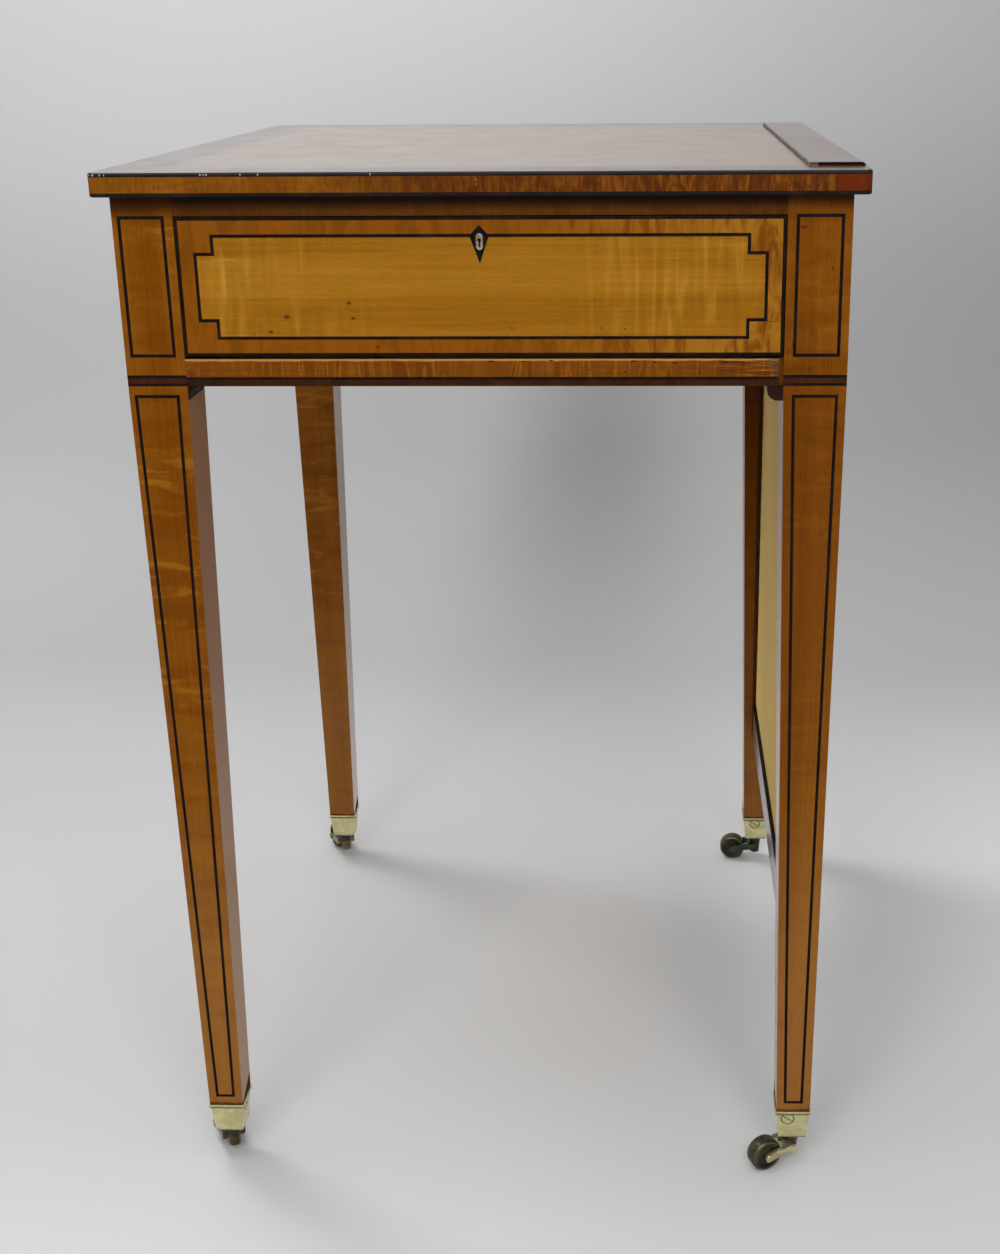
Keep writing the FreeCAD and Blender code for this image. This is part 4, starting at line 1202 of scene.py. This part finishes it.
@dataclass
class Castor(Assembly):
    """One castor: cup, horn, wheel and axle, with worn arrises."""

    place: str
    head: ScrewHead
    angle: float
    bright: Colour
    dull: Colour
    trail: float = 0.0235
    axle_height: float = 0.0126

    @property
    def title(self) -> str:
        """This castor's name in the log."""
        return "castor " + self.place

    @property
    def axle(self) -> tuple[Triple, Triple]:
        """The wheel's middle and the way that its axle lies."""
        turn = math.radians(self.angle)
        side = -1.0 if "left" in self.place else 1.0
        end = -1.0 if "front" in self.place else 1.0
        centre = (side * TOE_X + self.trail * math.cos(turn), end * TOE_Y + self.trail * math.sin(turn),
                  self.axle_height)
        return centre, (-math.sin(turn), math.cos(turn), 0.0)

    def build(self) -> None:
        """Adds copies of the castor's parts with their arrises worn round."""
        words = self.place.replace("_", " ")
        cup = CupBrass("Cup brass " + words, (230, 220, 168), (204, 194, 140), (78, 84, 56), rough=0.32,
                       spots=0.18, head=self.head)
        horn = HornBrass("Horn brass " + words, self.bright, self.dull, (20, 30, 22), rough=0.26, spots=0.12)
        wheel = WheelBrass("Wheel brass " + words, (98, 92, 68), (50, 48, 34), (16, 20, 13), clouds=110.0,
                           cover=0.45, rough=0.36, spots=0.45, axle=self.axle)
        swivel = "swivel_" + self.place
        for part, arris, body, slot, finish in (
                ("cup", 0.0005, "frame", "brass", cup),
                ("horn", 0.0004, swivel, "brass_patinated", horn),
                ("axle", 0.0002, swivel, "brass_patinated", horn),
                ("wheel", 0.0003, "roller_" + self.place, "brass_patinated", wheel)):
            node = f"castor_{part}_{self.place}"
            piece = Bench.copy(node, f"worn_{part}_{self.place}")
            Bench.soften(piece, arris)
            self.add(piece, body, slot, finish, node)


@dataclass
class Screws(Assembly):
    """The slotted screws that hold the castors' cups."""

    heads: tuple[ScrewHead, ...]
    title = "screws"
    arris: float = 0.0002

    def build(self) -> None:
        """Adds the screws."""
        piece = Bench.copy("castor_screws", "worn_screws")
        Bench.soften(piece, self.arris)
        finish = ScrewBrass("Screw brass", (206, 198, 152), (186, 176, 128), (46, 40, 24), clouds=260.0,
                            bare=0.15, spots=0.15, heads=self.heads)
        self.add(piece, "frame", "brass", finish, "castor_screws")


@dataclass(frozen=True)
class Lamp:
    """A square lamp: where it hangs and points, the side of its square and its power in watts."""

    name: str
    place: Triple
    target: Triple
    size: float
    power: float

    def hang(self) -> None:
        """Hangs the lamp."""
        data = bpy.data.lights.new(self.name, "AREA")
        data.shape = "SQUARE"
        data.size = self.size
        data.energy = self.power
        lamp = bpy.data.objects.new(self.name, data)
        lamp.location = self.place
        lamp.rotation_euler = (Vector(self.target) - Vector(self.place)).to_track_quat("-Z", "Y").to_euler()
        bpy.context.scene.collection.objects.link(lamp)


@dataclass
class Studio:
    """The seamless floor and backdrop, soft lamps and the camera."""

    floor_front: float = -3.2
    floor_back: float = 2.9
    half_width: float = 3.2
    wall_height: float = 3.4
    sweep: float = 0.9
    sweep_steps: int = 24
    near_zero: float = 0.001
    dark_side: float = 0.03
    pale_side: float = 0.55
    seen_side: float = 0.60
    dark_to: float = -0.75
    pale_from: float = 0.15
    room_colour: tuple[float, float, float, float] = (0.95, 0.97, 1.0, 1.0)
    lamps: tuple[Lamp, ...] = (Lamp("front left", (-0.55, -1.9, 1.75), (0.0, 0.0, 0.4), 0.9, 17.0),
                               Lamp("front right", (0.46, -1.9, 1.70), (0.0, 0.0, 0.4), 0.9, 17.0),
                               Lamp("overhead", (-0.2, -0.2, 2.7), (0.0, 0.0, 0.3), 1.5, 26.0),
                               Lamp("backdrop", (-1.4, 0.9, 2.8), (-0.3, 2.9, 1.1), 1.2, 56.0))
    camera_place: Triple = (0.1109135, -1.3064844, 0.8318607)
    yaw: float = -0.0300752
    pitch: float = 0.3230339
    roll: float = -0.0068478
    focal_pixels: float = 1629.389
    image_height: float = 1254.0
    centre_right: float = 108.321
    centre_down: float = -50.270

    def backdrop(self) -> None:
        """Makes the floor, turned up into a wall at the back through a wide sweep."""
        Bench.clear()
        middle = (self.floor_front + self.floor_back) / 2
        bpy.ops.mesh.primitive_plane_add(size=1.0, location=(0.0, middle, 0.0))
        paper = Bench.size("studio_paper", (2 * self.half_width, self.floor_back - self.floor_front, 1.0))
        bpy.ops.object.mode_set(mode="EDIT")
        Bench.pick_edges(paper, lambda place: abs(place.y - self.floor_back) < self.near_zero)
        bpy.ops.mesh.extrude_region_move(TRANSFORM_OT_translate={"value": (0.0, 0.0, self.wall_height)})
        Bench.pick_edges(paper, lambda place: math.hypot(place.y - self.floor_back, place.z) < self.near_zero)
        bpy.ops.mesh.bevel(offset=self.sweep, segments=self.sweep_steps, affect="EDGES")
        bpy.ops.object.mode_set(mode="OBJECT")
        bpy.ops.object.shade_smooth()
        paper.data.materials.append(Backdrop("Studio paper").material())

    def room(self) -> None:
        """Makes the room beyond the paper: pale to the sides and above, dark behind the camera."""
        tree = Tree(bpy.data.worlds.new("Studio room"))
        front = tree.band(tree.split(tree.way)[1], self.dark_to, self.pale_from, self.dark_side,
                          self.pale_side)
        ray = tree.node("LightPath").outputs
        seen = tree.most(tree.most(ray["Is Camera Ray"], ray["Is Glossy Ray"]), ray["Is Transmission Ray"])
        light = tree.node("Mix", seen)
        tree.put(front, light.inputs[2])
        tree.put(self.seen_side, light.inputs[3])
        background = tree.node("Background", self.room_colour, light.outputs[0])
        tree.node("OutputWorld", background.outputs[0])
        bpy.context.scene.world = tree.owner

    def camera(self) -> None:
        """Places the camera where the photograph was taken."""
        data = bpy.data.cameras.new("camera")
        data.sensor_fit = "AUTO"
        data.sensor_width = 36.0
        data.lens = self.focal_pixels / self.image_height * data.sensor_width
        data.shift_x = -self.centre_right / self.image_height
        data.shift_y = self.centre_down / self.image_height
        camera = bpy.data.objects.new("camera", data)
        turn = Matrix.Translation(self.camera_place)
        for angle, axis in ((-self.yaw, "Z"), (math.pi / 2 - self.pitch, "X"), (self.roll, "Z")):
            turn = turn @ Matrix.Rotation(angle, 4, axis)
        camera.matrix_world = turn
        bpy.context.scene.collection.objects.link(camera)
        bpy.context.scene.camera = camera

    def build(self) -> None:
        """Sets up the studio."""
        self.backdrop()
        for lamp in self.lamps:
            lamp.hang()
        self.room()
        self.camera()
        bpy.context.scene.view_settings.view_transform = "Standard"


def main() -> None:
    """Builds and dresses the table, group by group, and sets up the studio."""
    logging.basicConfig(level=logging.INFO, format="%(name)s %(message)s")
    knots = ((0.2042, 0.7143, 0.0042, 0.0014), (0.2233, 0.6887, 0.0012, 0.0022),
             (0.2141, 0.6441, 0.0004, 0.0110), (0.2109, 0.6233, 0.0006, 0.0022),
             (0.2197, 0.6285, 0.0005, 0.0040), (0.2224, 0.6272, 0.0005, 0.0034),
             (0.2113, 0.6492, 0.0004, 0.0040), (0.2212, 0.7272, 0.0014, 0.0012),
             (0.1994, 0.6396, 0.0008, 0.0040))
    legs = (Leg("front_left", LegVeneer("Satinwood leg front left", side=-1.0, seed=41.0, low_sheen=0.28,
                                        inner_coat=0.22, high_coat=0.1, gloss=0.045, overhang_shadow_foot=0.716)),
            Leg("front_right", LegVeneer("Satinwood leg front right", seed=45.0, low_sheen=0.36,
                                         inner_coat=0.45, waves=0.1, high_dark=0.15, knots=knots)),
            Leg("back_left", LegVeneer("Satinwood leg back left", side=-1.0, end=1.0, seed=47.0,
                                       inner_coat=1.0, high_coat=1.0, high_dark=-0.12)),
            # Here high_dark paints shade high up on the leg.
            Leg("back_right", LegVeneer("Satinwood leg back right", end=1.0, seed=53.0, waves=0.0,
                                        high_dark=0.62)))
    screws = Screws((ScrewHead((-0.20527, -TOE_Y, SCREW_Z)), ScrewHead((0.21335, -0.25553, SCREW_Z)),
                     ScrewHead((-0.20527, TOE_Y, SCREW_Z)), ScrewHead((0.21613, 0.23177, SCREW_Z))))
    castors = (Castor("front_left", screws.heads[0], 120.0, (96, 78, 52), (68, 54, 36)),
               Castor("front_right", screws.heads[1], 207.0, (222, 208, 164), (170, 158, 120)),
               Castor("back_left", screws.heads[2], 120.0, (150, 132, 92), (104, 92, 60)),
               Castor("back_right", screws.heads[3], 178.0, (84, 92, 76), (46, 56, 46)))
    for group in (Top(), *legs, Inlay(), Apron(), Drawer(), FireScreen(), *castors, screws):
        group.build()
    Studio().build()


if __name__ == "__main__":
    main()
